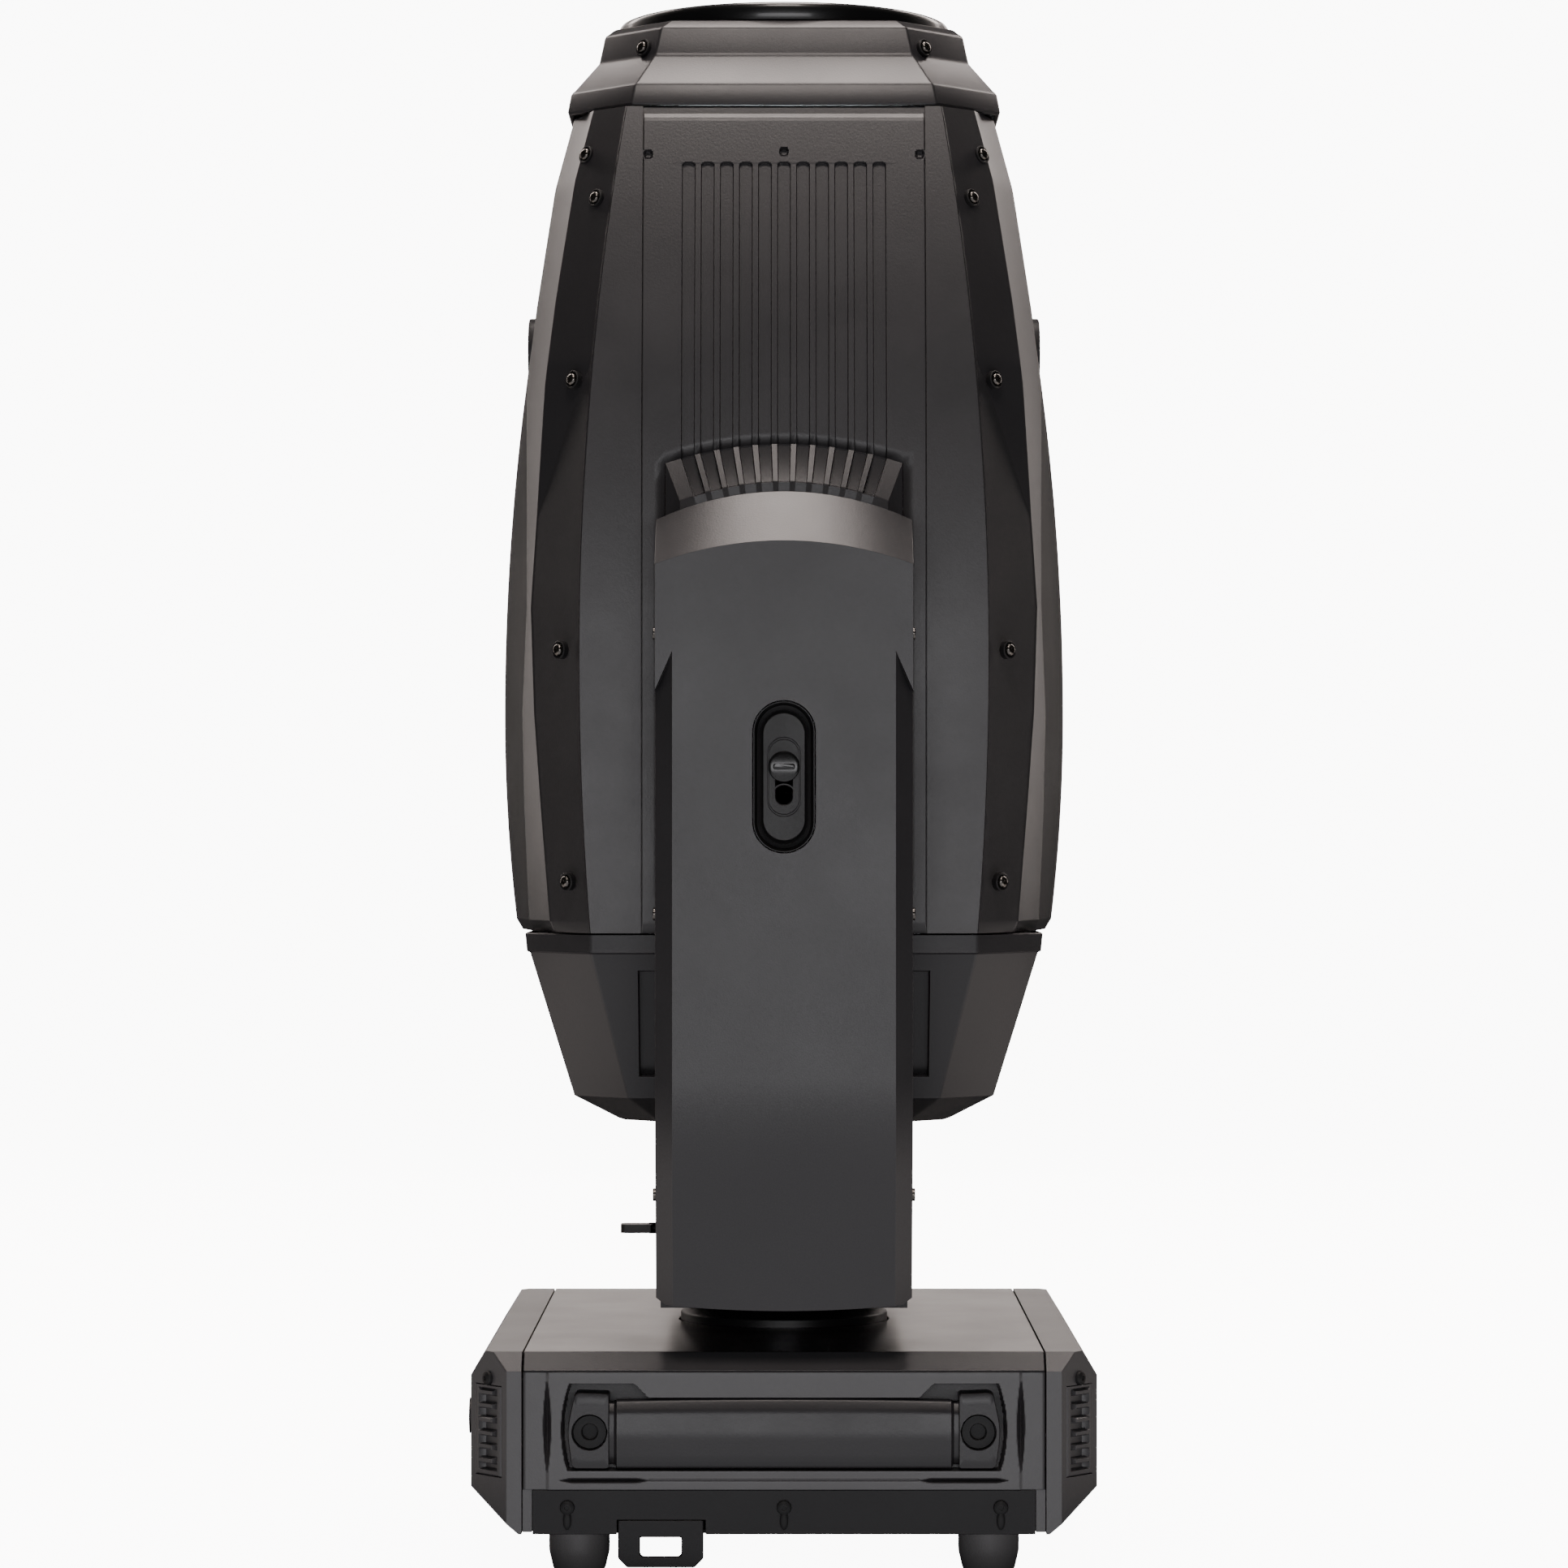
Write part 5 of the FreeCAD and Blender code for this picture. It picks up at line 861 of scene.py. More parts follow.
def arm_opening():
    """Rings between the square gap in the grid and the lock's round-ended opening, then down its wall."""
    top = np.stack([HOLE_X[::-1], np.full(len(HOLE_X), HOLE_HIGH)], axis=-1)
    left = np.stack([np.full(len(HOLE_Z), -HOLE_HALF), HOLE_Z[::-1]], axis=-1)[1:-1]
    foot = np.stack([HOLE_X, np.full(len(HOLE_X), HOLE_LOW)], axis=-1)
    right = np.stack([np.full(len(HOLE_Z), HOLE_HALF), HOLE_Z], axis=-1)[1:-1]
    square = np.concatenate([top, left, foot, right])
    edge = stadium_edge(square, LOCK_HALF, LOCK_REACH, LOCK_Z)
    rings = [(square, ARM_FACE), (square + (edge - square) * 0.5, ARM_FACE), (edge, ARM_FACE),
             (edge, ARM_FACE - LOCK_WALL)]
    points = np.stack([np.concatenate([ring[:, :1], np.full((len(ring), 1), -y), ring[:, 1:]], axis=-1)
                       for ring, y in rings])
    return points, grid_faces(*points.shape[:2], ring=True)


arm = arm_grid()
middle = (arm[1:, 1:] + arm[:-1, :-1]) / 2
gap = (np.abs(middle[..., 0]) < HOLE_HALF) & (middle[..., 2] > HOLE_LOW) & (middle[..., 2] < HOLE_HIGH)
near_arm = joined((arm, grid_faces(*arm.shape[:2], keep=~gap)), arm_opening())
make_piece("arm_cover_near", *near_arm, ["arm_cover_left"], wall=2.4, edge=1.1)
make_piece("arm_cover_far", turned_half(arm), grid_faces(*arm.shape[:2]), ["arm_cover_right"],
           wall=2.4, edge=1.1)

# %% [markdown]
# ### Tilt lock
#
# In transport the head is pinned by a small knob that slides down its guide. The bezel is one stack of
# stadium rings: rim, deep groove, inner plate with a fine engraved line, and the guide slot. The knob is
# turned, with a bar across it for the thumb. A round rim below shows where it locks. A curve with a bevel
# profile could make the bezel as well; rings let each one have its own centre, as the slot does.

# %% Bezel and the rim under its slot
GUIDE_Z, SEAT_Z, KNOB_Z = 396.0, 388.6, 403.0        # middle of the slot, where the knob locks, and the knob
BEZEL = [(15.3, 22, LOCK_Z, 206), (15.3, 22, LOCK_Z, 212.8), (15.0, 22, LOCK_Z, 213.1),
         (14.6, 22, LOCK_Z, 213.1), (14.3, 22, LOCK_Z, 212.4), (13.2, 22, LOCK_Z, 207.6),
         (11.6, 21.5, LOCK_Z, 206.8), (10.6, 21, LOCK_Z, 211.4), (10.1, 21, LOCK_Z, 211.9),
         (8.2, 11.5, LOCK_Z, 211.9), (8.0, 11.3, LOCK_Z, 211.3), (7.6, 11.0, LOCK_Z, 211.3),
         (7.4, 10.8, LOCK_Z, 211.9), (4.5, 7.7, GUIDE_Z, 211.9), (4.1, 7.6, GUIDE_Z, 211.5),
         (4.0, 7.6, GUIDE_Z, 206)]
LOCK_RIM = [(6.3, 211.2), (6.1, 212.0), (5.5, 212.0), (5.2, 211.2), (6.3, 211.2)]


def stadium_ring(half, reach, centre_z, y, count=72):
    """A closed stadium outline at depth y: a circle of radius half whose upper and lower halves are apart."""
    turn = np.linspace(0, 2 * math.pi, count, endpoint=False) + math.pi / count
    z = centre_z + half * np.sin(turn) + reach * np.sign(np.sin(turn))
    return np.stack([half * np.cos(turn), np.full(count, -y), z], axis=-1)


def lathe_on_face(profile, x, z, around=48):
    """A lathe form with its axis along -Y: each (radius, depth) turned about the point x, z of the face."""
    points, faces = lathe(profile, around)
    return np.stack([points[..., 0] + x, -points[..., 2], points[..., 1] + z], axis=-1), faces


bezel = np.stack([stadium_ring(*ring) for ring in BEZEL])
bezel_faces = grid_faces(*bezel.shape[:2], ring=True)
make_piece("tilt_lock_bezel_skin", *joined((bezel, bezel_faces), lathe_on_face(LOCK_RIM, 0.0, SEAT_Z)),
           ["tilt_lock_bezel"], smooth_angle=36.0)

# %% Knob with its thumb bar
KNOB = [(0, 204.2), (3.7, 204.2), (3.7, 212.2), (7.2, 212.2), (7.7, 212.6), (7.7, 213.4), (7.3, 214.0),
        (6.2, 214.3), (0, 214.3)]


def thumb_bar(half_x, half_z, low, high):
    """A small bar with rounded ends across the knob: filleted rectangles, the upper ones a little smaller."""
    corners = np.array([(-half_x, -half_z), (half_x, -half_z), (half_x, half_z), (-half_x, half_z)])
    rings = [(1.0, low), (1.0, high - 0.5), (0.97, high - 0.15), (0.88, high)]
    outline = filleted(corners, 1.1, 4)
    points = np.stack([np.concatenate([outline[:, :1] * grow, np.full((len(outline), 1), -y),
                                       outline[:, 1:] * grow + KNOB_Z], axis=-1) for grow, y in rings])
    return stacked(points)


knob = joined(lathe_on_face(KNOB, 0.0, KNOB_Z), thumb_bar(5.4, 1.5, 214.0, 214.9))
make_piece("tilt_lock_knob_turned", *knob, ["tilt_lock_knob"], smooth_angle=36.0)

# %% [markdown]
# ## Base
#
# Each long side of the base is one moulding: a slightly raised panel between two bowed slits, a hollow for
# the carrying handle whose upper lip steps up over the handle's ends, and a pair of thin slits under it.
# All of this is a height over the flat face, so the cover is a fine grid whose points sink by a sum of
# smooth steps. Separate boxes for hollow and slits would leave sharp seams where a mould leaves small
# radii.

# %% Steps in a flat face
BASE_SEAM, BASE_FACE = 129.7, 185.0      # half the cover along X, and the face along Y
HOLLOW_FOOT = 53.4


def step_in(distance, ramp=0.9):
    """1 where distance (mm, inside is positive) is past the ramp, 0 outside, and a smooth cubic between."""
    t = np.clip(distance / ramp, 0, 1)
    return t * t * (3 - 2 * t)


def handle_hollow(x, z):
    """Distance inside the handle's hollow: bowed ends, a lip at 97 that falls to 90 between 75 and 67.5 mm."""
    ends = 107.0 + 3.7 * (1 - ((z - 74.0) / 22.0) ** 2) - x
    lip = 89.8 + 7.2 * np.clip((x - 67.5) / 7.3, 0, 1) - z
    return np.minimum(np.minimum(ends, lip), z - HOLLOW_FOOT)


def side_relief(x, z):
    """Depth behind the face: the hollow, 9 mm at its foot and 18 at its lip; bowed upright slits and short
    level ones, cut as a V; a fine line between these; and the margin outside the raised panel, 0.8 mm."""
    x = np.abs(x)
    deep = (9.0 + 0.21 * (z - HOLLOW_FOOT)) * step_in(handle_hollow(x, z))
    bow = 2.1 * np.sin(math.pi * np.clip((z - 49.5) / 52.5, 0, 1)) - np.abs(x - 117.8)
    foot = np.minimum(1.3 * np.clip(np.minimum(x - 67.0, 112.0 - x) / 6.0, 0, 1), 1.3) - np.abs(z - 48.8)
    line = np.where(x < 67.0, 0.7 - np.abs(z - 49.0), -1.0)
    outer = 0.8 * step_in(x - 117.0, 1.2) * step_in(BASE_SEAM - 0.5 - x + 20.0, 1.0)
    return np.maximum.reduce([deep, 3.5 * np.clip(bow, 0, None), 3.0 * np.clip(foot, 0, None),
                              0.7 * step_in(line, 0.5), outer])


# %% Side covers
def side_cover():
    """A grid over the face, about 2 mm by 1.5 mm, and 0.5 mm where the slits and the hollow's edges run. Its
    top rows roll back and tuck a flange behind the lid."""
    fine = np.concatenate([np.arange(66.0, 76.0, 0.7), np.arange(105.0, 121.0, 0.5)])
    half = np.unique(np.round(np.concatenate([np.arange(0.0, BASE_SEAM, 2.0), fine, [BASE_SEAM]]), 3))
    x = np.concatenate([-half[:0:-1], half])
    z = np.concatenate([np.arange(44.2, 54.9, 0.42), np.arange(55.4, 88.4, 1.5), np.arange(88.6, 98.4, 0.5),
                        [99.2, 100.6, 101.8, 102.5, 102.9, 103.4]])
    flat_x, flat_z = np.meshgrid(x, z)
    rolled = 0.8 * np.clip((flat_z - 102.2) / 0.7, 0, 1) ** 2 + 3.0 * np.clip((flat_z - 102.9) / 0.5, 0, 1)
    points = np.stack([flat_x, side_relief(flat_x, flat_z) + rolled - BASE_FACE, flat_z], axis=-1)
    return points, grid_faces(*flat_x.shape)


side_points, side_faces = side_cover()
both_sides = joined((side_points, side_faces), (turned_half(side_points), side_faces))
make_piece("base_sides_skin", *both_sides, ["base_side_covers"], wall=0.6, outward=False, smooth_angle=40.0)

# %% Skirts
SKIRT_X, SKIRT_HALF, SKIRT_LOW, SKIRT_HIGH, SKIRT_END = 127.6, 2.3, 23.0, 44.4, 183.6


def skirt(x):
    """A strip along Y that closes the gap between the tray and an end cover: a rectangle carried along."""
    corners = np.array([(-SKIRT_HALF, SKIRT_LOW), (SKIRT_HALF, SKIRT_LOW), (SKIRT_HALF, SKIRT_HIGH),
                        (-SKIRT_HALF, SKIRT_HIGH)])
    points = np.empty((2, 4, 3))
    points[..., 0], points[..., 2] = corners[:, 0] + x, corners[:, 1]
    points[..., 1] = np.array([[-SKIRT_END], [SKIRT_END]])
    return stacked(points)


make_piece("base_skirts", *joined(skirt(-SKIRT_X), skirt(SKIRT_X)), ["base_side_covers"], smooth_angle=40.0)

# %% [markdown]
# ### Carrying handles
#
# A handle is one casting: a broad bowed grip between two feet, each with a bolt in a deep round recess. The
# grip is one filleted section carried along X; near the feet the same section steps back, which gives the
# dark groove. A foot is a stack of rings that starts as its rounded outline and closes in on the recess. A
# bevelled box would have one radius everywhere, and a casting has a wide one in front and tight ones
# behind.

# %% Grip
GRIP = np.array([(-176.5, 56.5), (-184.0, 54.2), (-187.0, 60.0), (-188.0, 71.5), (-187.0, 83.0),
                 (-184.2, 88.8), (-177.0, 88.6), (-179.0, 71.5)])
GRIP_ROUNDING = np.array([2, 2.5, 9, 30, 9, 2.5, 2, 12.0])
GRIP_Z, GRIP_END = 71.5, 83.2


def grip_sections():
    """The section at each x: full size in the middle, drawn back 5 mm and 8 percent smaller beyond its end."""
    outline = filleted(GRIP, GRIP_ROUNDING, 5)
    x = np.array([-87.2, -84.6, -83.9, -83.0, -81.5, *np.linspace(-60, 60, 9), 81.5, 83.0, 83.9, 84.6, 87.2])
    back = step_in(np.abs(x) - GRIP_END, 1.2)[:, None]
    bow = 0.9 * (1 - (x / 84.0) ** 2)[:, None] * (1 - back)
    y = outline[:, 0] + 5.0 * back
    raised = bow * np.clip((outline[:, 1] - 80.0) / 8.0, 0, 1)
    z = GRIP_Z + (outline[:, 1] - GRIP_Z) * (1 - 0.08 * back) + raised
    return np.stack([np.broadcast_to(x[:, None], y.shape), y, z], axis=-1)


# %% Feet with a bolt recess
BOLT_X, BOLT_Z = 96.6, 72.6
FOOT_CORNERS = np.array([(-105.5, 54.6), (-86.9, 54.6), (-86.9, 91.8), (-104.0, 92.4), (-108.0, 74.0)])


def handle_foot():
    """Rings from the wall of the foot, over its rounded rim, in to the recess of 8.9 mm and down to its floor.
    The outline's straight runs are cut in six, so that the recess is round where it faces them."""
    outline = filleted(FOOT_CORNERS, np.array([3.0, 1.5, 1.5, 3.0, 40.0]), 4)
    sides = zip(outline, np.roll(outline, -1, axis=0))
    outline = np.concatenate([np.linspace(a, b, 7)[:-1] for a, b in sides])
    centre = np.array([-BOLT_X, BOLT_Z])
    ray = outline - centre
    turn = np.arctan2(ray[:, 1], ray[:, 0])
    circle = np.stack([np.cos(turn), np.sin(turn)], axis=-1)
    between = (outline + centre + circle * 9.0) / 2
    rings = [(outline, -168.0), (outline, -183.4), (centre + ray * 0.985, -184.2),
             (centre + ray * 0.955, -184.5), (between, -184.5), (centre + circle * 9.1, -184.5),
             (centre + circle * 8.9, -184.1), (centre + circle * 8.8, -178.4), (centre + circle * 4.0, -178.4)]
    points = np.stack([np.insert(flat, 1, y, axis=-1) for flat, y in rings])
    return points, grid_faces(*points.shape[:2], ring=True)


foot_points, foot_faces = handle_foot()
mirrored = foot_points * (-1.0, 1.0, 1.0)
handle = joined(stacked(grip_sections()), (foot_points, foot_faces), (mirrored, foot_faces[:, ::-1]))
for node in ("carry_handle_left", "carry_handle_right"):
    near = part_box(node)[0][1] < 0
    points = handle[0] if near else turned_half(handle[0])
    make_piece(node + "_cast", points, handle[1], [node], smooth_angle=38.0)

# %% [markdown]
# ### Corner louvres and feet
#
# The cut corners breathe through an insert: a sunk field with blades that reach in from the outer side and
# stop short of the inner one. It is again a height over a flat face, set square to each cut corner. The
# rubber feet are turned forms, widest under the tray and drawn in at the tread. Blades set in as loose
# boxes would do, but the real ones are moulded with their frame.

# %% Louvre inserts
BLADE_PITCH, BLADE_HALF, BLADE_END = 6.8, 1.65, 3.4
FIELD_LOW, FIELD_HIGH, FIELD_DEEP = 52.6, 93.4, 3.5


def louvre_field():
    """Depth over the insert: 3.5 mm inside the field, back to the face on six blades that end at u = 3.4."""
    u = np.unique(np.concatenate([np.linspace(-11, 11, 12), [-8.6, -8.0, 2.6, 3.2, 3.8, 7.0, 7.6]]))
    z = np.unique(np.round(np.concatenate([np.arange(50.2, 95.1, 0.55), [94.8]]), 3))
    flat_u, flat_z = np.meshgrid(u, z)
    inside = np.minimum(np.minimum(flat_u + 8.3, 7.5 - flat_u),
                        np.minimum(flat_z - FIELD_LOW, FIELD_HIGH - flat_z))
    blade = BLADE_HALF - np.abs((flat_z - FIELD_LOW) % BLADE_PITCH - 4.6)
    blade = np.minimum(blade, BLADE_END - flat_u)
    return flat_u, flat_z, FIELD_DEEP * step_in(inside, 0.5) * (1 - step_in(blade, 0.6))


# %% The insert on all four corners
CUT_X, CUT_Y = 19.0, 24.0                # how much a corner is cut off along X and Y
CUT_MIDDLE = (147.5, 173.0)


def corner_inserts():
    """The field on each cut corner: u runs along the cut towards the long side, depth against its normal."""
    flat_u, flat_z, deep = louvre_field()
    faces = grid_faces(*flat_u.shape)
    length = math.hypot(CUT_X, CUT_Y)
    along, out = np.array([-CUT_X, CUT_Y]) / length, np.array([CUT_Y, CUT_X]) / length
    plan = np.array(CUT_MIDDLE) + flat_u[..., None] * along - deep[..., None] * out
    made = []
    for side_x, side_y in ((1, 1), (1, -1), (-1, 1), (-1, -1)):
        points = np.concatenate([plan * (side_x, side_y), flat_z[..., None]], axis=-1)
        made.append((points, faces if side_x * side_y > 0 else faces[:, ::-1]))
    return joined(*made)


make_piece("corner_louvres_skin", *corner_inserts(), ["corner_louvres"],
           wall=0.7, outward=False, smooth_angle=34.0)

# %% Rubber feet
TREAD = [(0, 0), (12.2, 0), (12.9, 0.5), (13.4, 1.6), (14.9, 8.0), (15.25, 9.6), (15.3, 12.0), (15.3, 21.6),
         (0, 21.6)]
FOOT_X, FOOT_Y = 103.0, 150.0
one_foot, tread_faces = lathe(TREAD, 48)
four = [(one_foot + (FOOT_X * side_x, FOOT_Y * side_y, 0.0), tread_faces)
        for side_x in (-1, 1) for side_y in (-1, 1)]
make_piece("rubber_feet_moulded", *joined(*four), ["rubber_feet"], smooth_angle=28.0)

# %% [markdown]
# ### Base screws
#
# The handles' bolts are wide socket heads that fill their recesses. The tray's screws are small domes over
# a short rounded rib, and one dome sits above each louvre insert. All of them are turned profiles laid on
# their side. One turned form moved from place to place is lighter than a modelled screw for each.

# %% Turned screws
def lathe_along(profile, spot, out, around=28):
    """A lathe form whose axis starts at spot and points along out, a level direction."""
    points, faces = lathe(profile, around)
    out = np.array([*out, 0.0]) / math.hypot(*out)
    level = np.array([-out[1], out[0], 0.0])
    up = np.array([0.0, 0.0, 1.0])
    return spot + points[..., :1] * level + points[..., 1:2] * up + points[..., 2:] * out, faces


HANDLE_BOLT = [(0, -4.0), (8.5, -4.0), (8.5, -1.0), (8.1, -0.4), (4.4, -0.4), (4.0, -0.8), (3.6, -3.2),
               (0, -3.4)]
DOME = [(0, -1.0), (3.7, -1.0), (3.7, 0.4), (3.3, 1.5), (2.2, 2.1), (1.4, 2.25), (1.2, 1.5), (0, 1.4)]
RIB = [(0, -0.5), (2.1, -0.5), (2.1, 0.7), (1.7, 1.3), (1.0, 1.6), (0, 1.7)]
BOLT_Y, TRAY_Y = 182.6, 184.5
DOME_Z, RIB_Z, RIB_STRETCH, CORNER_DOME_Z = 35.4, 29.0, 2.3, 98.5
screws = []
for side in (-1, 1):
    for x in (-BOLT_X, BOLT_X):
        screws.append(lathe_along(HANDLE_BOLT, (x, side * BOLT_Y, BOLT_Z), (0.0, side)))
    for x in (-107.7, 0.0, 107.7):
        screws.append(lathe_along(DOME, (x, side * TRAY_Y, DOME_Z), (0.0, side), 20))
        rib, rib_faces = lathe_along(RIB, (x, side * TRAY_Y, RIB_Z), (0.0, side), 16)
        rib[..., 2] = RIB_Z + (rib[..., 2] - RIB_Z) * RIB_STRETCH
        screws.append((rib, rib_faces))
    for end in (-1, 1):
        spot = (end * CUT_MIDDLE[0], side * CUT_MIDDLE[1], CORNER_DOME_Z)
        screws.append(lathe_along(DOME, spot, (CUT_Y * end, CUT_X * side), 20))
make_piece("base_screws_turned", *joined(*screws), ["base_screws"], smooth_angle=34.0)

# %% [markdown]
# ## Head screws
#
# Pan head screws hold the covers. Under each head sits a small dull black ring, painted shade that stands for
# the shadow in the screw's pocket, and its polished dome is what glints on the dark facets. The mechanical
# model has them as plain discs, which is enough to read every screw's place and direction: the direction is
# the one along which a disc is thinnest. Reading them keeps the domes on their shade rings if the drawn screws
# ever move.

# %% Places, rings of painted shade, and domes
def disc_places(node, count):
    """Centre and outward axis of each of count equal discs: the mean of its points, and the direction in which
    they spread least, which is the last singular vector."""
    mesh = frame["nodes"][node].data
    flat = np.empty(len(mesh.vertices) * 3)
    mesh.vertices.foreach_get("co", flat)
    discs = flat.reshape(count, -1, 3) / MM
    centres = discs.mean(axis=1)
    axes = np.linalg.svd(discs - centres[:, None])[2][:, 2]
    facing = np.sign((axes[:, :2] * centres[:, :2]).sum(axis=1))
    return centres, axes * facing[:, None]


def turned_at(profile, centres, axes, around=20):
    """One lathe form repeated on every centre with its own axis turned to that disc's axis."""
    points, faces = lathe(profile, around)
    level = np.cross(axes, (0.0, 0.0, 1.0))
    level /= np.linalg.norm(level, axis=1, keepdims=True)
    up = np.cross(level, axes)
    turn = np.stack([level, up, axes], axis=1)
    placed = np.einsum("rck,nkd->nrcd", points, turn) + centres[:, None, None]
    return joined(*[(one, faces) for one in placed])


# A dull black ring under each screw head: painted shade that stands for the shadow in the screw's pocket.
SHADE_RING = [(0, -2.0), (4.7, -2.0), (4.7, 0.9), (4.3, 1.2), (3.6, 1.0), (3.5, 0.2), (0, 0.1)]
PAN = [(0, -0.4), (3.1, -0.4), (3.1, 1.1), (2.9, 1.9), (2.3, 2.5), (1.5, 2.8), (1.2, 2.8), (1.0, 2.0),
       (0, 1.9)]
spots, ways = disc_places("head_screws", 24)
print("head screws at heights", sorted({round(float(z)) for z in spots[:, 2]}))
# The rings of painted shade go under the domes, in the dull black finish.
make_piece("head_screws_shade_rings", *turned_at(SHADE_RING, spots, ways), ["head_screws"], smooth_angle=34.0,
           finish="dull black screw and painted shade finish")
make_piece("head_screws_domes", *turned_at(PAN, spots, ways), ["head_screws"], smooth_angle=50.0)

# %% [markdown]
# ## Pieces whose form is already right
#
# A steel bracket or a moulded shell drawn in the mechanical model has the true form but knife edges, and a
# knife edge never shines. Such a piece is copied, its loose triangles are merged back into flat faces, and
# a bevel as wide as the real rounding goes round its edges. The copy then stands for the drawn piece.
# Drawing them all again would risk their fit and gain nothing.

# %% Copies with rounded edges
EDGES = {        # node and the width of its rounded edges in millimetres
    "base_top_cover": 0.6, "base_tray": 0.5, "socket_end_cover": 0.7, "display_end_cover": 0.7,
    "data_sockets": 0.4, "power_sockets": 0.4, "display_window": 0.4, "safety_eye": 0.7, "yoke_bridge": 0.8,
    "pan_collar": 0.6, "menu_dial": 0.5, "menu_key": 0.7, "back_key": 0.7, "pan_lock_lever": 0.8,
    "arm_cover_screws": 0.4, "tail_fan_frame": 0.3, "tail_fan_rotor": 0.3,
}


def rounded_copy(node, width):
    """A copy of a node's mesh: doubles merged, flat triangles dissolved, sharp edges bevelled."""
    mesh = frame["nodes"][node].data.copy()
    mesh.name = node + "_rounded"
    mesh.materials.clear()
    mesh.materials.append(finish_of(node))
    whole = bmesh.new()
    whole.from_mesh(mesh)
    bmesh.ops.remove_doubles(whole, verts=whole.verts, dist=2e-6)
    bmesh.ops.dissolve_limit(whole, angle_limit=math.radians(1.0), verts=whole.verts, edges=whole.edges)
    whole.to_mesh(mesh)
    whole.free()
    mesh.shade_smooth()
    mesh.set_sharp_from_angle(angle=math.radians(35))
    piece = bpy.data.objects.new(node + "_rounded", mesh)
    bpy.context.scene.collection.objects.link(piece)
    add_edge(piece, width)
    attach(piece, BODY[node])
    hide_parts(node)


for node, width in EDGES.items():
    rounded_copy(node, width)
print("rounded copies:", len(EDGES))

# %% Finishes for the pieces that stay as drawn
kept = [name for name, piece in frame["nodes"].items() if not piece.hide_render]
for name in kept:
    piece = frame["nodes"][name]
    if piece.data.materials:
        for held in piece.material_slots:
            held.link = "OBJECT"
            held.material = finish_of(name)
    else:
        piece.data.materials.append(finish_of(name))
print("kept as drawn:", kept)

# %% [markdown]
# ## The studio
#
# A pale floor runs up into a pale wall all round, with no corner. The paper glows evenly, as paper lit from
# behind does, and takes no part in reflections, so that only the boxes draw the black skin: two overhead
# for the crowns, the nose and the ribs, a tall strip behind each shoulder for the narrow facets, a wide
# panel in front for the arm, cards on the floor for the base and the tail, and two cards far behind for the
# base's flat top. The camera stands level, at the height of the light's middle, far away with a long lens.

# %% Floor and wall in one round sweep
FLOOR_RADIUS, BEND, WALL_TOP = 5.0, 2.0, 9.0     # in metres


def studio_sweep():
    """A profile turned about Z: flat floor, a quarter circle of radius 2 m and an upright wall at 7 m."""
    turn = np.linspace(-math.pi / 2, 0, 17)[:, None]
    curve = np.concatenate([FLOOR_RADIUS + BEND * np.cos(turn), BEND + BEND * np.sin(turn)], axis=1)
    return lathe(np.concatenate([[(0.0, 0.0), (2.5, 0.0)], curve, [(FLOOR_RADIUS + BEND, WALL_TOP)]]))


sweep_points, sweep_faces = studio_sweep()
sweep_mesh = bpy.data.meshes.new("studio_sweep")
sweep_mesh.from_pydata(sweep_points.reshape(-1, 3).tolist(), [], sweep_faces.tolist())
sweep_mesh.shade_smooth()
sweep = bpy.data.objects.new("studio_sweep", sweep_mesh)
bpy.context.scene.collection.objects.link(sweep)


def backlit_paper(name, colour, glow):
    """Rough paper with a fine tooth that also gives off its own even light."""
    tree = new_finish(name)
    place = add_node(tree, "TexCoord").outputs["Object"]
    tooth = add_node(tree, "TexNoise", {"Vector": place, "Scale": 250.0, "Detail": 2.0})
    bump = add_node(tree, "Bump", {"Height": tooth.outputs["Fac"], "Distance": 0.00002, "Strength": 1.0})
    shader = add_node(tree, "BsdfPrincipled", {"Base Color": linear(colour), "Roughness": 0.8,
                                               "Normal": bump.outputs["Normal"],
                                               "Emission Color": linear(colour), "Emission Strength": glow})
    add_node(tree, "OutputMaterial", {"Surface": shader.outputs["BSDF"]})


backlit_paper("pale backlit paper", "#f7f6f5", 11.0)
sweep_mesh.materials.append(FINISH["pale backlit paper"])
sweep.visible_glossy = sweep.visible_diffuse = False     # the boxes below make every reflection

# %% Lights
WARM, NEUTRAL = "#fff3ed", "#fdfcff"


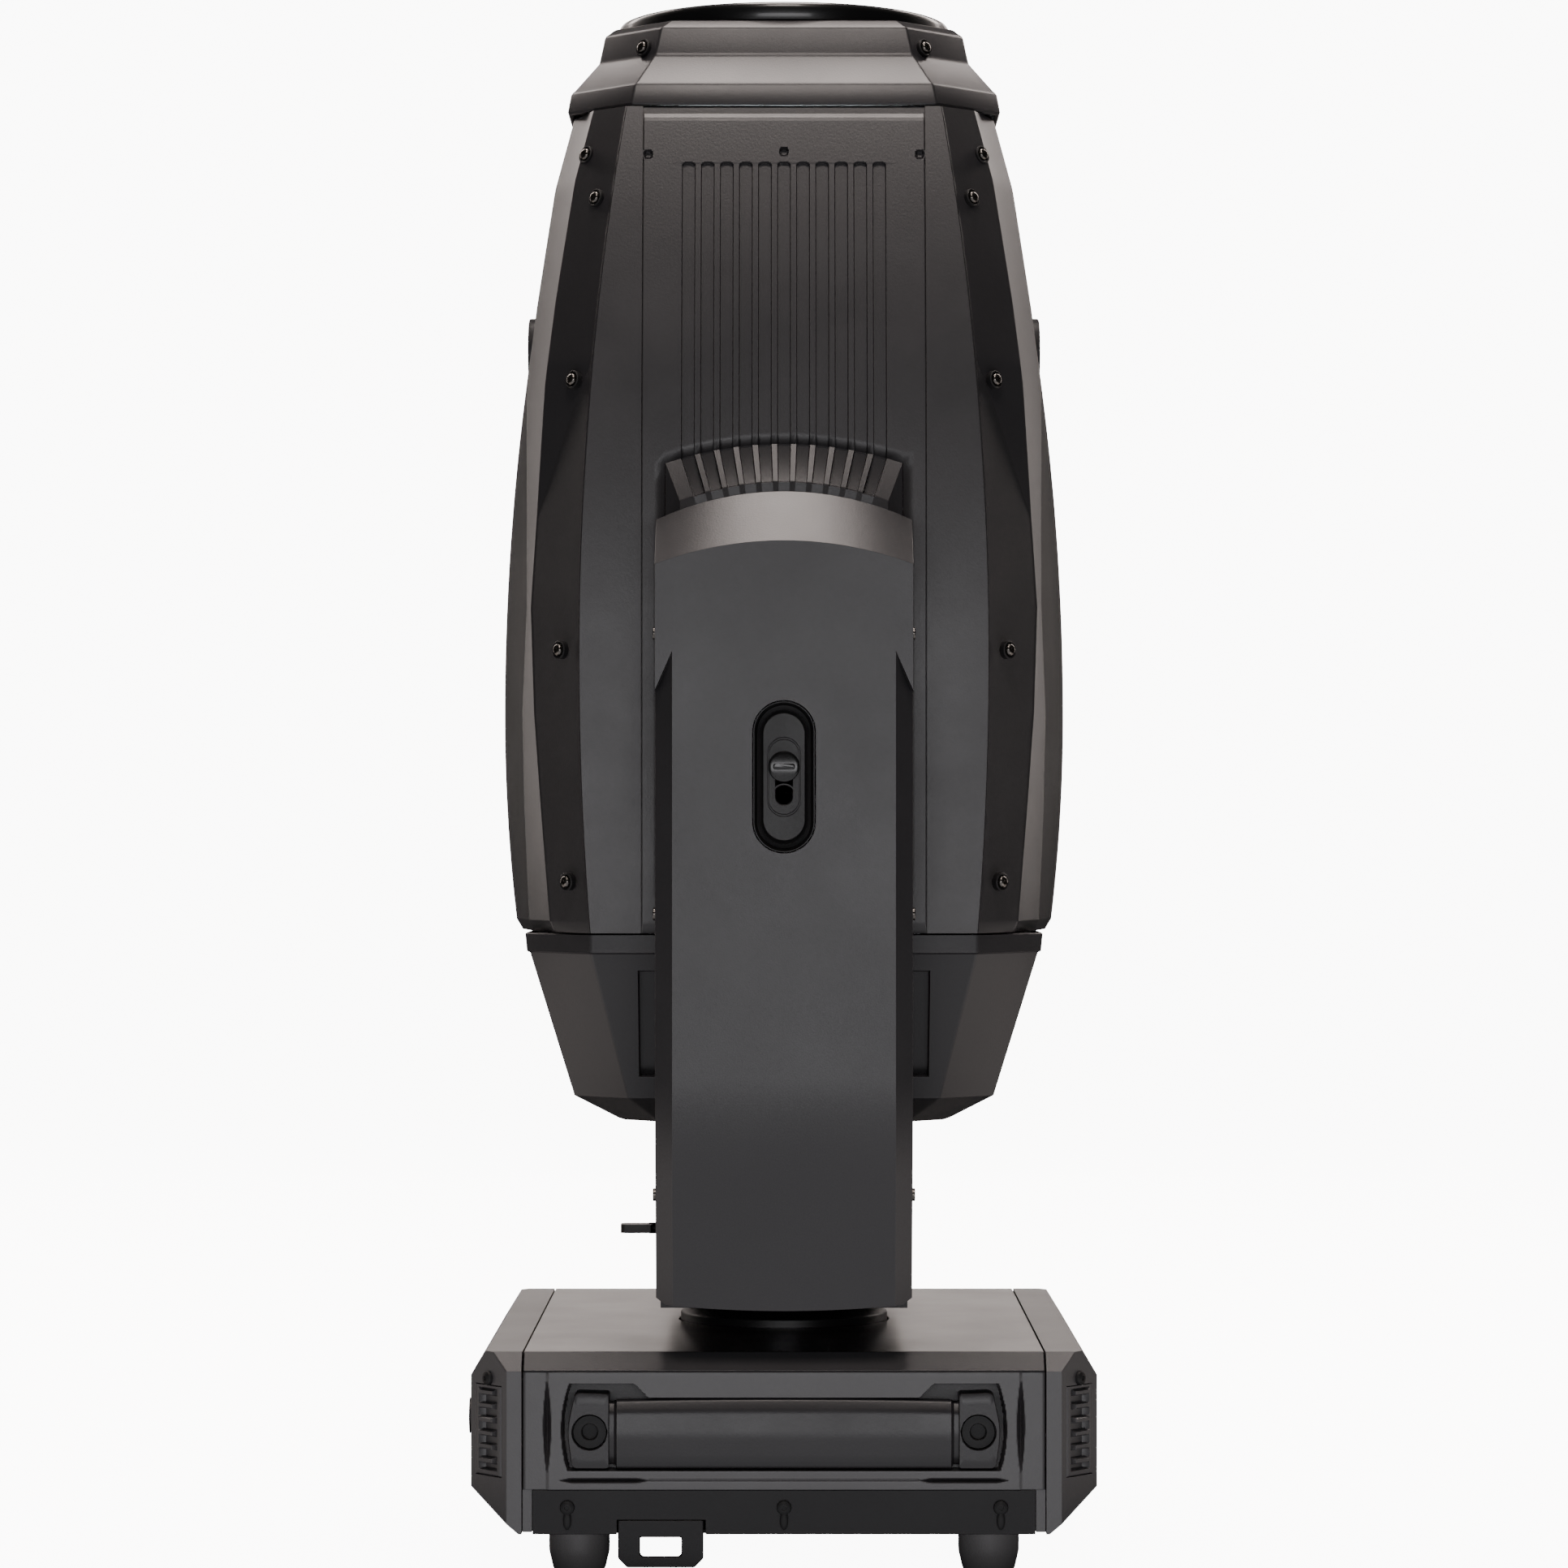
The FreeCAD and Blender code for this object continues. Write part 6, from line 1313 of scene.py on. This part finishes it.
def softbox(name, place, target, width, height, watts, tone=WARM):
    """A flat rectangular light at place that faces target."""
    light = bpy.data.lights.new(name, "AREA")
    light.shape, light.size, light.size_y, light.energy = "RECTANGLE", width, height, watts
    light.color = linear(tone)[:3]
    holder = bpy.data.objects.new(name, light)
    bpy.context.scene.collection.objects.link(holder)
    holder.location = place
    holder.rotation_euler = (Vector(target) - Vector(place)).to_track_quat("-Z", "Y").to_euler()
    return holder


softbox("crown_box", (0.0, 0.15, 2.6), (0.0, 0.15, 0.4), 0.8, 0.9, 29)
softbox("brow_box", (0.0, -1.6, 2.6), (0.0, -0.2, 0.5), 0.8, 0.5, 20)
for side in (-1, 1):
    softbox(f"strip_low_{side + 1}", (side * 1.45, 1.39, 0.75), (0.0, 0.0, 0.5), 0.24, 1.1, 3.3)
    softbox(f"strip_high_{side + 1}", (side * 1.42, 1.42, 2.0), (0.0, 0.0, 0.7), 0.45, 1.4, 20)
softbox("front_panel", (0.0, -4.6, 0.45), (0.0, 0.0, 0.45), 3.0, 0.86, 36, NEUTRAL)
for card in (softbox("floor_card", (0.0, -1.4, 0.003), (0.0, -1.4, 1.0), 1.8, 2.4, 9.5, NEUTRAL),
             softbox("left_floor_card", (-0.85, -0.1, 0.003), (-0.85, -0.1, 1.0), 1.0, 1.0, 2.4),
             softbox("right_floor_card", (0.85, -0.1, 0.003), (0.85, -0.1, 1.0), 1.0, 1.0, 2.4),
             softbox("low_card", (0.0, 2.9, 0.42), (0.0, 0.0, 0.42), 0.9, 0.34, 2.7),
             softbox("high_card", (0.0, 2.9, 1.5), (0.0, 0.0, 0.6), 2.6, 0.8, 16)):
    card.visible_camera = False                          # cards stand inside the view and only reflect
world = bpy.data.worlds.new("studio_air")
world.use_nodes = True
air = world.node_tree.nodes["Background"].inputs
air["Color"].default_value, air["Strength"].default_value = linear("#f2f2f2"), 0.03
bpy.context.scene.world = world

# %% Camera
lens = bpy.data.cameras.new("studio_camera")
lens.lens, lens.sensor_width, lens.shift_y = 114.97, 36.0, 0.0357
camera = bpy.data.objects.new("studio_camera", lens)
bpy.context.scene.collection.objects.link(camera)
camera.location = (0.0, -2.672, 0.367)
camera.rotation_euler = (math.pi / 2, 0.0, 0.0)
bpy.context.scene.camera = camera
print("camera looks along +Y from", tuple(round(c, 3) for c in camera.location))
